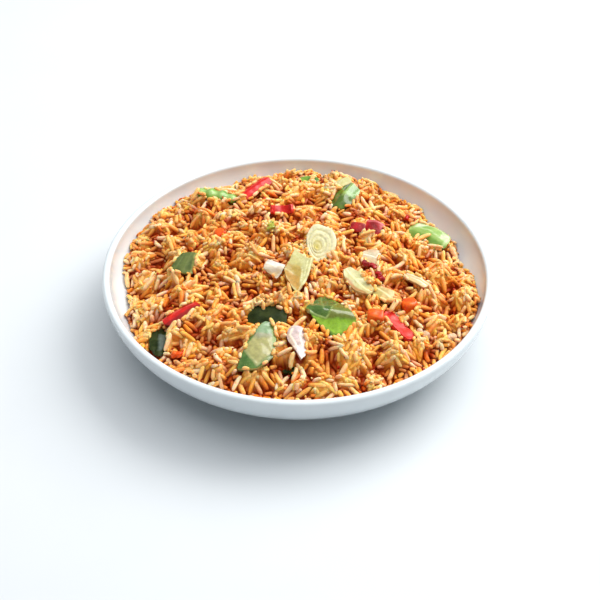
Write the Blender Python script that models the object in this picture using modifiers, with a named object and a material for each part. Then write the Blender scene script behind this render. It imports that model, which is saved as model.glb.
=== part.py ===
"""Chilli garlic rice in a shallow white bowl, in metres, +Z up.

The origin is on the surface that the bowl stands on, under the bowl's centre. The front
of the dish faces -Y. The rice is one heap with ridges the size of its grains. Each piece
of vegetable is a bent sheet, a dice or a turned form, and lies in a hollow of the heap.
"""

import math
import random
from collections import defaultdict
from dataclasses import dataclass

import bmesh
import bpy
from mathutils import Euler, Vector, noise
from mathutils.bvhtree import BVHTree
from mathutils.geometry import delaunay_2d_cdt

MM = 0.001
GAP = 0.3 * MM
MERGE_DISTANCE = 0.05 * MM
SHARP_ANGLE = math.radians(40)

# The bowl: a turned shape with a rounded lip and a foot ring.
RIM_RADIUS = 127 * MM
RIM_HEIGHT = 46 * MM
LIP_WIDTH = 5 * MM
LIP_DROP = 2.2 * MM
BASE_RADIUS = 64 * MM
BASE_HEIGHT = 1.5 * MM
UNDERSIDE_HEIGHT = 2.5 * MM
FLOOR_HEIGHT = 7 * MM
FLOOR_RADIUS = 61 * MM
FOOT_WIDTH = 5 * MM
FOOT_INSET = 1.5 * MM
WALL_POWER = 1.85
BOWL_STEPS = 60
INNER_STEPS = 7
OUTER_STEPS = 7
LIP_STEPS = 4

# The heap of rice: a low mound, whose edge dips on the right and on the left, each
# dip with its azimuth and half width in degrees and its depth.
HEAP_TOP = RIM_HEIGHT + 9 * MM
HEAP_POWER = 2.5
EDGE_DEPTH = 10.5 * MM
EDGE_DIPS = ((20, 24, 8.0 * MM), (190, 17, 9.5 * MM), (120, 9, 3.0 * MM))
EDGE_COLUMNS = 96
SIDE_LEVELS = 4
EDGE_LUMP = 2.2 * MM
EDGE_LUMP_SPACING = 16 * MM
LUMP_HEIGHT = 3.4 * MM
LUMP_SPACING = 17 * MM
SMALL_LUMP_HEIGHT = 1.4 * MM
SMALL_LUMP_SPACING = 7 * MM
LUMP_FADE = 14 * MM

# Grains of rice, as ridges in the heap's surface with hollows between them.
GRAIN_LENGTH = 9 * MM
GRAIN_WIDTH = 2.4 * MM
RIDGE_LENGTH = GRAIN_LENGTH - GRAIN_WIDTH
RIDGE_RISE = 1.3 * MM
RIDGE_TILT = 0.8 * MM
HOLLOW_DROP = 0.9 * MM
GRAINS = 860
GRAIN_TRIES = 30000
HOLLOWS = 1080
HOLLOW_TRIES = 30000
HOLLOW_SPACING = 1.7 * MM
EDGE_MARGIN = 2.2 * MM
SEED = 7

# How the heap gives way to the pieces that lie in it.
SETTLE_STEP = 0.35 * MM
SETTLE_ROUNDS = 60

PORCELAIN = ("porcelain", (0.90, 0.92, 0.93), 0.12)
RICE = ("fried_rice", (0.86, 0.50, 0.17), 0.45)
PEPPER_GREEN = ("pepper_green", (0.27, 0.42, 0.08), 0.25)
PEPPER_PALE = ("pepper_pale", (0.60, 0.63, 0.30), 0.35)
LEAF_DARK = ("leaf_dark", (0.09, 0.12, 0.06), 0.40)
PEPPER_RED = ("pepper_red", (0.72, 0.05, 0.03), 0.22)
CARROT = ("carrot", (0.88, 0.25, 0.03), 0.40)
LEEK = ("leek", (0.86, 0.83, 0.52), 0.35)
ONION = ("onion", (0.88, 0.80, 0.68), 0.25)


@dataclass
class Sheet:
    """A bent sheet: sizes in millimetres, angles in degrees.

    It lies with its middle `lift` above the mound at x and y. Its length runs along +X
    before it is turned by yaw. A positive pitch lifts its far end, and a positive roll
    its left side. Bend and cup are the arcs of its length and width, arched upwards.
    An outline gives its four corners and the middles of its sides, before it is bent.
    """

    name: str
    finish: tuple
    x: float
    y: float
    lift: float
    yaw: float
    pitch: float
    roll: float
    length: float
    width: float
    thickness: float
    bend: float = 0
    cup: float = 0
    corner: float = 0.5
    taper: float = 0
    fold: float = 0
    ripple: float = 0
    cells: tuple = (6, 4)
    outline: tuple = ()


@dataclass
class Dice:
    """A diced piece with its edges rounded off: sizes in millimetres, angles in degrees."""

    name: str
    finish: tuple
    x: float
    y: float
    lift: float
    yaw: float
    pitch: float
    roll: float
    size: tuple


SHEETS = [
    Sheet("pepper_center", PEPPER_GREEN, 20, -56.5, 3.4, 0, -8, 8, 32, 36, 3.2,
          bend=30, cup=70, corner=0.05, fold=3.0, cells=(8, 8),
          outline=((-15.5, 0), (-7, -8), (4, -18), (10.5, -11),
                   (16, -3), (6, 8.5), (-5, 18.5), (-10.5, 8))),
    Sheet("pepper_front", PEPPER_PALE, -24, -83, 1.4, 0, 0, 10, 24, 34, 3.4,
          bend=40, cup=14, corner=0.2, cells=(6, 8),
          outline=((-11.5, -17), (-1, -17), (9.5, -9), (11, 3),
                   (10, 14), (7, 17.5), (2.5, 16.5), (-6, -0.5))),
    Sheet("pepper_right", PEPPER_GREEN, 88.5, 40.5, 4.4, -40, 2, 16, 30, 18, 3.0,
          bend=34, cup=84, corner=0.3, cells=(8, 5),
          outline=((-14, -6.5), (-3, -9), (13, -7.5), (15.5, 0),
                   (13, 8), (0, 9.5), (-12.5, 8.5), (-15.5, 1))),
    Sheet("pepper_back_right", PEPPER_GREEN, 32, 69, 3.0, 58, 14, -6, 23, 16, 2.8,
          bend=20, cup=60, corner=0.3, fold=1.6, cells=(6, 5),
          outline=((-10.5, -5), (-1, -8), (10, -7), (11.5, 0),
                   (9.5, 6.5), (0, 7), (-8, 8), (-11.5, 2))),
    Sheet("pepper_back", PEPPER_GREEN, 7, 101, 1.2, 2, 0, 6, 15, 6, 2.4,
          bend=30, cup=30, cells=(4, 3)),
    Sheet("pepper_left", PEPPER_GREEN, -73.5, -2, 1.4, 0, 4, 10, 18, 19, 1.8,
          bend=16, cup=14, corner=0.05, cells=(4, 4),
          outline=((-9.5, -5), (-2.5, -8), (5, -9.5), (7, -0.5),
                   (8.5, 8.5), (3.3, 9.2), (-2, 9.2), (-6.5, 2.5))),
    Sheet("leaf_dark_left", LEAF_DARK, -85, -69.5, 1.4, 0, 0, 0, 12, 25, 1.8,
          bend=44, cup=36, corner=0.2, ripple=0.7, cells=(4, 6),
          outline=((-5.5, 1.5), (-3.5, -7), (1.5, -12.5), (5.5, -4),
                   (6, 6), (3.5, 10.5), (-0.5, 12.5), (-4.5, 8))),
    Sheet("leaf_dark_center", LEAF_DARK, -18.5, -57, 0.0, 0, 0, 18, 25, 17, 1.8,
          bend=30, cup=40, corner=0.2, ripple=0.7, cells=(6, 4),
          outline=((-13, -5), (-1, -8), (12.5, -5), (11, 3),
                   (7, 8.5), (0, 10), (-7, 7.5), (-11, 1.5))),
    Sheet("red_strip_back", PEPPER_RED, -29, 83, 4.0, 46, 8, -16, 25, 9.5, 2.6,
          bend=12, cup=70, corner=0.3, fold=1.0, cells=(6, 4)),
    Sheet("red_curl", PEPPER_RED, -11.5, 49, 1.6, 4, 0, 34, 18, 6.5, 2.2,
          bend=-130, corner=0.3, cells=(8, 2)),
    Sheet("red_mid_left", PEPPER_RED, 39.5, 29, 0.8, -8, 0, 22, 10, 7, 2.2,
          bend=20, cup=20, cells=(4, 3)),
    Sheet("red_mid_right", PEPPER_RED, 51.5, 30.5, 2.0, 0, 0, 20, 13, 15, 2.4,
          bend=40, cup=44, corner=0.1, cells=(4, 5),
          outline=((-7, -2.5), (-5, -6.5), (-1.5, -9), (4, -4),
                   (6, 2), (1, 5), (-5, 6.5), (-6.5, 2))),
    Sheet("red_strip_left", PEPPER_RED, -72, -50, 2.2, 41, 4, -10, 26, 10, 2.6,
          bend=16, cup=60, corner=0.5, taper=0.2, cells=(7, 4)),
    Sheet("red_strip_right", PEPPER_RED, 62, -59, 3.0, -54, -8, -8, 27, 8.5, 3.2,
          bend=-12, cup=-24, corner=0.3, cells=(7, 3)),
    Sheet("leek_leaf", LEEK, -0.7, -21, 2.8, 0, 0, 12, 20, 34, 1.8,
          bend=-30, cup=24, corner=0, cells=(6, 8),
          outline=((-8.5, 0), (-5.5, -9), (0.5, -16.7), (6.7, -5.7),
                   (11, 9.4), (5, 11.2), (-1.5, 20), (-4.4, 8.6))),
    Sheet("leek_back", LEEK, 31, 93, 2.4, 28, 10, 0, 13, 8, 1.8,
          bend=24, cup=30, cells=(4, 3)),
    Sheet("onion_white", ONION, -15.5, -20, 2.4, 0, 0, 6, 13, 12, 2.0,
          bend=40, cup=50, corner=0.1, cells=(4, 4),
          outline=((-6.5, 1.5), (-5, -3), (-1.5, -5.5), (2.5, -5),
                   (6.5, -1.5), (4, 3), (-1, 6), (-5, 5))),
    Sheet("onion_back", ONION, 47.5, -1, 2.0, 0, 0, 6, 14, 15, 1.8,
          bend=16, cup=20, corner=0.1, cells=(4, 4),
          outline=((-7, 0.5), (-3, -5), (1.5, -8.5), (4.5, -1.5),
                   (7, 6), (2, 6.8), (-3, 6.5), (-6, 4))),
    Sheet("onion_right", ONION, 75, -23, 2.0, -42, 0, -10, 18, 8, 1.8,
          bend=26, cup=40, cells=(6, 3)),
    Sheet("onion_front", ONION, -0.7, -79.5, 2.2, 0, 0, 6, 12, 26, 2.0,
          bend=56, cup=24, corner=0.1, cells=(4, 7),
          outline=((-4.5, -3), (-0.5, -9), (3, -15), (5.7, -9),
                   (5, 3), (3.5, 8.5), (-2.5, 10.5), (-5.2, 4))),
    Sheet("cabbage_center", LEEK, 37.5, -31, 2.6, 0, -4, 6, 18, 24, 1.8,
          bend=-14, cup=-24, corner=0.2, cells=(4, 6),
          outline=((-9, 5), (-3.5, -5), (6, -11), (9.5, -7),
                   (9, -2), (2, 8), (-5, 13), (-9, 10))),
    Sheet("cabbage_right", LEEK, 53.5, -35, 1.8, 0, 0, 8, 15, 16, 1.8,
          bend=26, cup=30, corner=0.2, cells=(4, 4),
          outline=((-7.5, 0), (-2.5, -4.5), (3, -8.5), (6, -4),
                   (7.5, 1), (2, 4), (-4, 7.5), (-6.5, 4))),
]
DICE = [
    Dice("carrot_left", CARROT, -52, 25, 2.2, 24, 8, -6, (8, 8, 7)),
    Dice("carrot_center", CARROT, 47.6, -58.0, 1.6, -8, 0, 6, (10.5, 8, 6.5)),
    Dice("carrot_right", CARROT, 69.4, -43, 1.8, 24, 4, -4, (9.5, 8.5, 7.5)),
]
# Small bits that are fused to the rice.
CHIPS = [
    Dice("chip_red_back", PEPPER_RED, -24.5, 66, 0.4, 70, 0, 0, (6, 4, 4.5)),
    Dice("chip_red_right", PEPPER_RED, 76.8, 59.0, 0.4, 60, 0, 0, (6, 4.5, 4.5)),
    Dice("chip_floret", PEPPER_GREEN, -18, 25, 0.4, 80, 0, 0, (7, 4.5, 4.5)),
    Dice("chip_chilli_a", PEPPER_RED, 45.5, -11.5, 0.2, -10, 0, 0, (7.5, 4, 4)),
    Dice("chip_chilli_b", PEPPER_RED, 52.5, -20, 0.2, -50, 0, 0, (5, 4, 4)),
    Dice("chip_leaf", LEAF_DARK, -4.5, -95, 0.2, 0, 0, 0, (7, 4.5, 4)),
    Dice("chip_carrot", CARROT, -72.4, -82.5, 0.4, 20, 0, 0, (6, 5, 4.5)),
    Dice("chip_onion_a", ONION, 93.4, -61.2, 0.4, 8, 0, 0, (8, 5, 4.5)),
    Dice("chip_onion_b", ONION, 77, -60.5, 0.4, -20, 0, 0, (6.5, 5, 4.5)),
]

# The bean pod: a turned form with a swelling over each seed.
POD_PLACE = (-57.5, 73, 3.2)
POD_TURN = (-13, -3)
POD_LENGTH = 33 * MM
POD_RADIUS = 4.9 * MM
POD_SEEDS = 4
POD_SWELL = 0.16
POD_SQUASH = 0.82
POD_RINGS = 17
POD_STEPS = 12

# The slice of leek: a turned form with a ring for each of its layers.
LEEK_PLACE = (14.5, 10, 3.4)
LEEK_TILT = 30
LEEK_YAW = 8
LEEK_RADIUS = 9.5 * MM
LEEK_STRETCH = 1.4
LEEK_THICKNESS = 4.6 * MM
LEEK_LAYERS = 4
LEEK_GROOVE = 0.9 * MM
LEEK_STEPS = 22


def clear_scene():
    """Remove whatever the scene holds."""
    for old in list(bpy.data.objects):
        bpy.data.objects.remove(old, do_unlink=True)


def new_collection(name):
    """Return a new collection in the scene."""
    collection = bpy.data.collections.new(name)
    bpy.context.scene.collection.children.link(collection)
    return collection


def material(finish):
    """Return the Principled material of a finish: its name, colour and roughness."""
    name, colour, roughness = finish
    found = bpy.data.materials.get(name)
    if found:
        return found
    made = bpy.data.materials.new(name)
    made.use_nodes = True
    shader = made.node_tree.nodes["Principled BSDF"]
    shader.inputs["Base Color"].default_value = (*colour, 1)
    shader.inputs["Roughness"].default_value = roughness
    shader.inputs["Metallic"].default_value = 0
    return made


def add_object(name, bm, finish, collection):
    """Make an object of a bmesh, smooth and with its material."""
    mesh = bpy.data.meshes.new(name)
    bm.to_mesh(mesh)
    bm.free()
    mesh.shade_smooth()
    mesh.set_sharp_from_angle(angle=SHARP_ANGLE)
    mesh.materials.append(material(finish))
    made = bpy.data.objects.new(name, mesh)
    collection.objects.link(made)
    return made


def add_turned(name, outline, steps, finish, collection):
    """Turn an outline of radii and heights about +Z with a Screw modifier."""
    bm = bmesh.new()
    verts = [bm.verts.new((radius, 0, height)) for radius, height in outline]
    for upper, lower in zip(verts, verts[1:]):
        bm.edges.new((upper, lower))
    turned = add_object(name, bm, finish, collection)
    screw = turned.modifiers.new("turn", "SCREW")
    screw.steps = steps
    screw.render_steps = steps
    screw.use_merge_vertices = True
    screw.merge_threshold = MERGE_DISTANCE
    screw.use_smooth_shade = True
    return turned


def quarter(share, reach, depth, power):
    """Return the radius and the drop at a share of a wall's rounded quarter."""
    turn = share * math.pi / 2
    radius = reach * math.cos(turn) ** (2 / power)
    drop = depth * math.sin(turn) ** (2 / power)
    return radius, drop


def inner_wall():
    """Outline of the bowl's inner side, from its floor up to the lip."""
    top = RIM_HEIGHT - LIP_DROP
    reach = RIM_RADIUS - LIP_WIDTH - FLOOR_RADIUS
    outline = []
    for step in range(INNER_STEPS + 1):
        radius, drop = quarter(1 - step / INNER_STEPS, reach, top - FLOOR_HEIGHT, WALL_POWER)
        outline.append((FLOOR_RADIUS + radius, top - drop))
    return outline


def outer_wall():
    """Outline of the bowl's outer side, from the lip down to its base."""
    top = RIM_HEIGHT - LIP_DROP
    reach = RIM_RADIUS - BASE_RADIUS
    outline = []
    for step in range(OUTER_STEPS + 1):
        radius, drop = quarter(step / OUTER_STEPS, reach, top - BASE_HEIGHT, WALL_POWER)
        outline.append((BASE_RADIUS + radius, top - drop))
    return outline


def lip():
    """Outline of the lip's rounded top, from the inner side to the outer."""
    middle = RIM_RADIUS - LIP_WIDTH / 2
    outline = []
    for step in range(1, LIP_STEPS):
        turn = math.pi * step / LIP_STEPS
        outline.append((middle - LIP_WIDTH / 2 * math.cos(turn),
                        RIM_HEIGHT - LIP_DROP + LIP_DROP * math.sin(turn)))
    return outline


def bowl_outline():
    """Whole section of the bowl, from the middle of its floor round to its underside."""
    foot_outer = BASE_RADIUS - FOOT_INSET
    foot_inner = foot_outer - FOOT_WIDTH
    foot = [
        (foot_outer, 0),
        (foot_inner, 0),
        (foot_inner - FOOT_INSET, UNDERSIDE_HEIGHT),
        (0, UNDERSIDE_HEIGHT),
    ]
    return [(0, FLOOR_HEIGHT)] + inner_wall() + lip() + outer_wall() + foot


def wall_radius(height):
    """Radius of the bowl's inner side at a height, along its straight facets."""
    outline = inner_wall()
    for (low_radius, low), (high_radius, high) in zip(outline, outline[1:]):
        if height <= high:
            share = max(0, (height - low) / (high - low))
            return low_radius + (high_radius - low_radius) * share
    return outline[-1][0]


def heap_radius(height):
    """Radius of the heap's side at a height: clear of the wall and its flat facets."""
    return wall_radius(height - GAP) * math.cos(math.pi / BOWL_STEPS) - GAP


def unevenness(x, y, spacing, layer):
    """Smooth unevenness between about -1 and 1 that changes over a spacing."""
    return 2 * noise.noise(Vector((x / spacing, y / spacing, layer)))


def edge_height(azimuth):
    """Height at which the rice meets the bowl's wall."""
    dip = 0
    for middle, width, depth in EDGE_DIPS:
        away = (math.degrees(azimuth) - middle + 180) % 360 - 180
        dip += depth * math.exp(-((away / width) ** 2))
    x = RIM_RADIUS * math.cos(azimuth)
    y = RIM_RADIUS * math.sin(azimuth)
    lump = EDGE_LUMP * unevenness(x, y, EDGE_LUMP_SPACING, 3)
    return RIM_HEIGHT - EDGE_DEPTH - dip + lump


def mound_height(x, y):
    """Height of the heap without its grains."""
    edge = edge_height(math.atan2(y, x))
    reach = heap_radius(edge)
    away = min(math.hypot(x, y), reach)
    smooth = edge + (HEAP_TOP - edge) * (1 - (away / reach) ** HEAP_POWER)
    lumps = (LUMP_HEIGHT * unevenness(x, y, LUMP_SPACING, 1)
             + SMALL_LUMP_HEIGHT * unevenness(x, y, SMALL_LUMP_SPACING, 2))
    return smooth + lumps * min(1, (reach - away) / LUMP_FADE)


def arc(share, size, angle):
    """Return how far along and how far down a share of an arc is, from -1 to 1."""
    turn = math.radians(angle)
    if abs(turn) < 0.01:
        return share * size / 2, 0
    radius = size / turn
    return radius * math.sin(share * turn / 2), radius * (1 - math.cos(share * turn / 2))


def outline_point(outline, u, v):
    """Place in the plane of a point of a four-sided outline with bowed sides."""
    shares = ((1 - u) * (1 - v) * (-u - v - 1) / 4, (1 - u * u) * (1 - v) / 2,
              (1 + u) * (1 - v) * (u - v - 1) / 4, (1 + u) * (1 - v * v) / 2,
              (1 + u) * (1 + v) * (u + v - 1) / 4, (1 - u * u) * (1 + v) / 2,
              (1 - u) * (1 + v) * (v - u - 1) / 4, (1 - u) * (1 - v * v) / 2)
    x = sum(share * point[0] for share, point in zip(shares, outline))
    y = sum(share * point[1] for share, point in zip(shares, outline))
    return x, y


def sheet_point(sheet, u, v):
    """Place of a sheet's point, where u and v run from -1 to 1 over its grid."""
    along = u * math.sqrt(1 - sheet.corner * v * v / 2)
    across = v * math.sqrt(1 - sheet.corner * u * u / 2) * (1 - sheet.taper * u)
    if sheet.outline:
        x, y = outline_point(sheet.outline, along, across)
        along = 2 * x / sheet.length
        across = 2 * y / sheet.width
    x, x_drop = arc(along, sheet.length * MM, sheet.bend)
    y, y_drop = arc(across, sheet.width * MM, sheet.cup)
    crease = sheet.fold * MM * max(0, 1 - abs(across) * 3)
    ripple = sheet.ripple * MM * abs(across) * math.sin(3 * math.pi * along + 2 * v)
    return Vector((x, y, crease + ripple - x_drop - y_drop))


def place(made, piece):
    """Lay a piece on the mound, turned by its yaw, pitch and roll."""
    x = piece.x * MM
    y = piece.y * MM
    made.location = (x, y, mound_height(x, y) + piece.lift * MM)
    made.rotation_euler = Euler((math.radians(piece.roll), math.radians(-piece.pitch),
                                 math.radians(piece.yaw)))


def add_sheet(sheet, collection):
    """Make a bent sheet of even thickness, with both faces split alike."""
    bm = bmesh.new()
    bmesh.ops.create_grid(bm, x_segments=sheet.cells[0], y_segments=sheet.cells[1], size=1)
    for vert in bm.verts:
        vert.co = sheet_point(sheet, vert.co.x, vert.co.y)
    bmesh.ops.triangulate(bm, faces=bm.faces)
    made = add_object(sheet.name, bm, sheet.finish, collection)
    solidify = made.modifiers.new("thickness", "SOLIDIFY")
    solidify.thickness = sheet.thickness * MM
    solidify.offset = 0
    place(made, sheet)
    return made


def add_dice(dice, collection):
    """Make a dice with bevelled edges."""
    bm = bmesh.new()
    bmesh.ops.create_cube(bm, size=MM)
    bmesh.ops.scale(bm, vec=dice.size, verts=bm.verts)
    made = add_object(dice.name, bm, dice.finish, collection)
    bevel = made.modifiers.new("rounded_edges", "BEVEL")
    bevel.width = min(dice.size) * 0.16 * MM
    bevel.segments = 1
    place(made, dice)
    return made


def pod_outline():
    """Outline of the pod from its upper tip to its lower, swollen over each seed."""
    outline = []
    for ring in range(POD_RINGS + 1):
        share = 1 - 2 * ring / POD_RINGS
        swell = 1 - POD_SWELL * math.cos(math.pi * POD_SEEDS * (share + 1))
        radius = POD_RADIUS * math.sqrt(max(0, 1 - share ** 2)) * swell
        outline.append((radius, share * POD_LENGTH / 2))
    return outline


def add_pod(collection):
    """Make the bean pod, lying on its side and a little flat."""
    pod = add_turned("green_pod", pod_outline(), POD_STEPS, PEPPER_GREEN, collection)
    x = POD_PLACE[0] * MM
    y = POD_PLACE[1] * MM
    pod.location = (x, y, mound_height(x, y) + POD_PLACE[2] * MM)
    pod.scale = (POD_SQUASH, 1, 1)
    pod.rotation_euler = Euler((0, math.radians(90 - POD_TURN[1]), math.radians(POD_TURN[0])))
    return pod


def leek_outline():
    """Outline of the slice: its ringed face from the middle out, then its plain face."""
    half = LEEK_THICKNESS / 2
    layer = LEEK_RADIUS / LEEK_LAYERS
    outline = [(0, half)]
    for index in range(LEEK_LAYERS - 1):
        edge = (index + 1) * layer
        outline.append((edge - 0.3 * layer, half))
        outline.append((edge, half - LEEK_GROOVE))
    outline.append((LEEK_RADIUS - 0.5 * layer, half))
    outline.append((LEEK_RADIUS, half - LEEK_GROOVE))
    outline.append((LEEK_RADIUS - 0.2 * layer, -half))
    outline.append((0, -half))
    return outline


def add_leek_slice(collection):
    """Make the slice of leek, tilted towards the front."""
    leek = add_turned("leek_slice", leek_outline(), LEEK_STEPS, LEEK, collection)
    x = LEEK_PLACE[0] * MM
    y = LEEK_PLACE[1] * MM
    leek.location = (x, y, mound_height(x, y) + LEEK_PLACE[2] * MM)
    leek.scale = (1, LEEK_STRETCH, 1)
    leek.rotation_euler = Euler((math.radians(LEEK_TILT), 0, math.radians(LEEK_YAW)))
    return leek


class Spacing:
    """Points of the heap, sorted into squares so that near ones are found quickly."""

    def __init__(self, square):
        self.square = square
        self.squares = defaultdict(list)

    def key(self, point):
        """Return the square that a point is in."""
        return math.floor(point.x / self.square), math.floor(point.y / self.square)

    def add(self, point):
        """Keep a point."""
        self.squares[self.key(point)].append(point)

    def free(self, point, apart):
        """Tell whether every kept point is at least this far apart."""
        column, row = self.key(point)
        for near_column in range(column - 1, column + 2):
            for near_row in range(row - 1, row + 2):
                for kept in self.squares[(near_column, near_row)]:
                    if (kept - point).length < apart:
                        return False
        return True


def random_place(chance, margin):
    """Return a random point of the heap, evenly spread, this far from its edge."""
    while True:
        point = Vector((chance.uniform(-RIM_RADIUS, RIM_RADIUS),
                        chance.uniform(-RIM_RADIUS, RIM_RADIUS)))
        azimuth = math.atan2(point.y, point.x)
        if point.length < heap_radius(edge_height(azimuth)) - margin:
            return point


def edge_points():
    """Points where the heap meets the wall, with their heights."""
    points = []
    for column in range(EDGE_COLUMNS):
        azimuth = 2 * math.pi * column / EDGE_COLUMNS
        height = edge_height(azimuth)
        radius = heap_radius(height)
        points.append(Vector((radius * math.cos(azimuth), radius * math.sin(azimuth), height)))
    return points


def grain_ridges(chance, spacing):
    """Pairs of ends of grains that lie at random in the surface, clear of each other."""
    ridges = []
    for _ in range(GRAIN_TRIES):
        middle = random_place(chance, EDGE_MARGIN + RIDGE_LENGTH / 2)
        turn = chance.uniform(0, math.pi)
        rise = RIDGE_RISE * chance.uniform(0.4, 1.3)
        tilt = chance.uniform(-RIDGE_TILT, RIDGE_TILT)
        half = Vector((math.cos(turn), math.sin(turn))) * RIDGE_LENGTH / 2
        ends = [middle + half, middle - half]
        if not all(spacing.free(point, GRAIN_WIDTH) for point in [middle] + ends):
            continue
        for point in [middle] + ends:
            spacing.add(point)
        ridge = []
        for end, sign in zip(ends, (1, -1)):
            height = mound_height(end.x, end.y) + rise + sign * tilt
            ridge.append(Vector((end.x, end.y, height)))
        ridges.append(ridge)
        if len(ridges) == GRAINS:
            break
    return ridges


def hollow_points(chance, spacing):
    """Low points between the grains."""
    hollows = []
    for _ in range(HOLLOW_TRIES):
        point = random_place(chance, EDGE_MARGIN)
        if not spacing.free(point, HOLLOW_SPACING):
            continue
        spacing.add(point)
        drop = HOLLOW_DROP * chance.uniform(0.5, 1.5)
        height = mound_height(point.x, point.y) - drop
        hollows.append(Vector((point.x, point.y, height)))
        if len(hollows) == HOLLOWS:
            break
    return hollows


def heap_surface():
    """Return the heap's upper surface as a bmesh, with an edge along each grain."""
    chance = random.Random(SEED)
    spacing = Spacing(GRAIN_WIDTH)
    points = edge_points()
    for point in points:
        spacing.add(point.xy)
    edges = [(index, (index + 1) % EDGE_COLUMNS) for index in range(EDGE_COLUMNS)]
    for ridge in grain_ridges(chance, spacing):
        edges.append((len(points), len(points) + 1))
        points += ridge
    points += hollow_points(chance, spacing)
    flat = [point.xy for point in points]
    inside_the_edge = 1
    verts, _, faces, sources, _, _ = delaunay_2d_cdt(
        flat, edges, [], inside_the_edge, MERGE_DISTANCE)
    bm = bmesh.new()
    made = []
    for vert, source in zip(verts, sources):
        height = points[source[0]].z if source else mound_height(vert.x, vert.y)
        made.append(bm.verts.new((vert.x, vert.y, height)))
    for face in faces:
        bm.faces.new([made[index] for index in face])
    return bm


def grown_tree(made):
    """Return a search tree of a piece's faces, grown by the gap and in its place."""
    graph = bpy.context.evaluated_depsgraph_get()
    bm = bmesh.new()
    bm.from_object(made, graph)
    bm.transform(made.matrix_world)
    bm.normal_update()
    for vert in bm.verts:
        vert.co += vert.normal * GAP
    tree = BVHTree.FromBMesh(bm)
    bm.free()
    return tree


def lower_under(bm, tree):
    """Bring each point of the heap's surface that is in or above a piece under it."""
    for vert in bm.verts:
        below = Vector((vert.co.x, vert.co.y, 0))
        found = tree.ray_cast(below, Vector((0, 0, 1)))[0]
        if found and found.z < vert.co.z:
            vert.co.z = found.z


def settle(bm, pieces):
    """Lower the heap's surface until no face of it crosses a piece."""
    trees = [grown_tree(made) for made in pieces]
    for tree in trees:
        lower_under(bm, tree)
    for _ in range(SETTLE_ROUNDS):
        surface = BVHTree.FromBMesh(bm)
        bm.faces.ensure_lookup_table()
        crossing = set()
        for tree in trees:
            for face, _ in surface.overlap(tree):
                crossing.update(bm.faces[face].verts)
        if not crossing:
            return
        for vert in crossing:
            vert.co.z -= SETTLE_STEP


def close_below(bm):
    """Carry the surface's edge down the wall and close the heap over the bowl's floor."""
    edge = [item for item in bm.edges if item.is_boundary]
    tops = {}
    floor = FLOOR_HEIGHT + GAP
    for level in range(1, SIDE_LEVELS + 1):
        made = bmesh.ops.extrude_edge_only(bm, edges=edge)["geom"]
        edge = [item for item in made if isinstance(item, bmesh.types.BMEdge)]
        edge = [item for item in edge if item.is_boundary]
        for vert in {vert for item in edge for vert in item.verts}:
            azimuth = math.atan2(vert.co.y, vert.co.x)
            column = round(azimuth / (2 * math.pi) * EDGE_COLUMNS)
            top = tops.setdefault(column, vert.co.z)
            height = top + (floor - top) * level / SIDE_LEVELS
            radius = heap_radius(height)
            vert.co = (radius * math.cos(azimuth), radius * math.sin(azimuth), height)
    bmesh.ops.contextual_create(bm, geom=edge)
    bmesh.ops.recalc_face_normals(bm, faces=bm.faces)


def add_rice(pieces, collection):
    """Make the heap of rice under its pieces, with the small bits fused on."""
    bm = heap_surface()
    settle(bm, pieces)
    close_below(bm)
    rice = add_object("rice", bm, RICE, collection)
    chips = new_collection("rice_chips")
    for chip in CHIPS:
        add_dice(chip, chips)
    bpy.context.view_layer.update()
    union = rice.modifiers.new("small_bits", "BOOLEAN")
    union.operation = "UNION"
    union.operand_type = "COLLECTION"
    union.collection = chips
    union.solver = "MANIFOLD"
    graph = bpy.context.evaluated_depsgraph_get()
    fused = bpy.data.meshes.new_from_object(rice.evaluated_get(graph))
    rice.modifiers.clear()
    rice.data = fused
    for chip in list(chips.objects):
        bpy.data.objects.remove(chip, do_unlink=True)
    bpy.data.collections.remove(chips)
    return rice


def main():
    """Build the whole dish."""
    clear_scene()
    dish = new_collection("chilli_garlic_rice")
    add_turned("bowl", bowl_outline(), BOWL_STEPS, PORCELAIN, dish)
    pieces = [add_sheet(sheet, dish) for sheet in SHEETS]
    pieces += [add_dice(dice, dish) for dice in DICE]
    pieces += [add_pod(dish), add_leek_slice(dish)]
    bpy.context.view_layer.update()
    add_rice(pieces, dish)


main()
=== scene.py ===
"""Looks of a bowl of chilli garlic rice, built round its CAD solids.

Lengths are in millimetres until a mesh is made, and in metres in Blender. The rice is
laid grain by grain on a grid of heights, so that each grain rests on those below it.
"""

import math
import random
from dataclasses import dataclass, replace

import bmesh
import bpy
import numpy as np
from mathutils import Euler, Matrix, Vector, noise
from mathutils.bvhtree import BVHTree


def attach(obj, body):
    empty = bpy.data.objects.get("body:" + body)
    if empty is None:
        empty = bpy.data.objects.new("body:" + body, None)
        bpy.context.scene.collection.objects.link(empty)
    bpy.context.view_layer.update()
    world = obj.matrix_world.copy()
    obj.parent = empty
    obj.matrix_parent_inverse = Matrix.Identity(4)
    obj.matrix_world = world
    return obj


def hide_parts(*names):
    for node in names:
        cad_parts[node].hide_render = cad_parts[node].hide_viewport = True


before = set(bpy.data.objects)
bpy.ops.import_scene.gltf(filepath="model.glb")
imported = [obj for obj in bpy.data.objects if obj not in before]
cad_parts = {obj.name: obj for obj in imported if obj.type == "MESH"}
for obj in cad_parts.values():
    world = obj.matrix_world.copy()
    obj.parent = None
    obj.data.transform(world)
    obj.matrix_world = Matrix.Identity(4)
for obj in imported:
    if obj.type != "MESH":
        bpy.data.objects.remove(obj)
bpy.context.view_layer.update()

MM = 0.001

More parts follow.
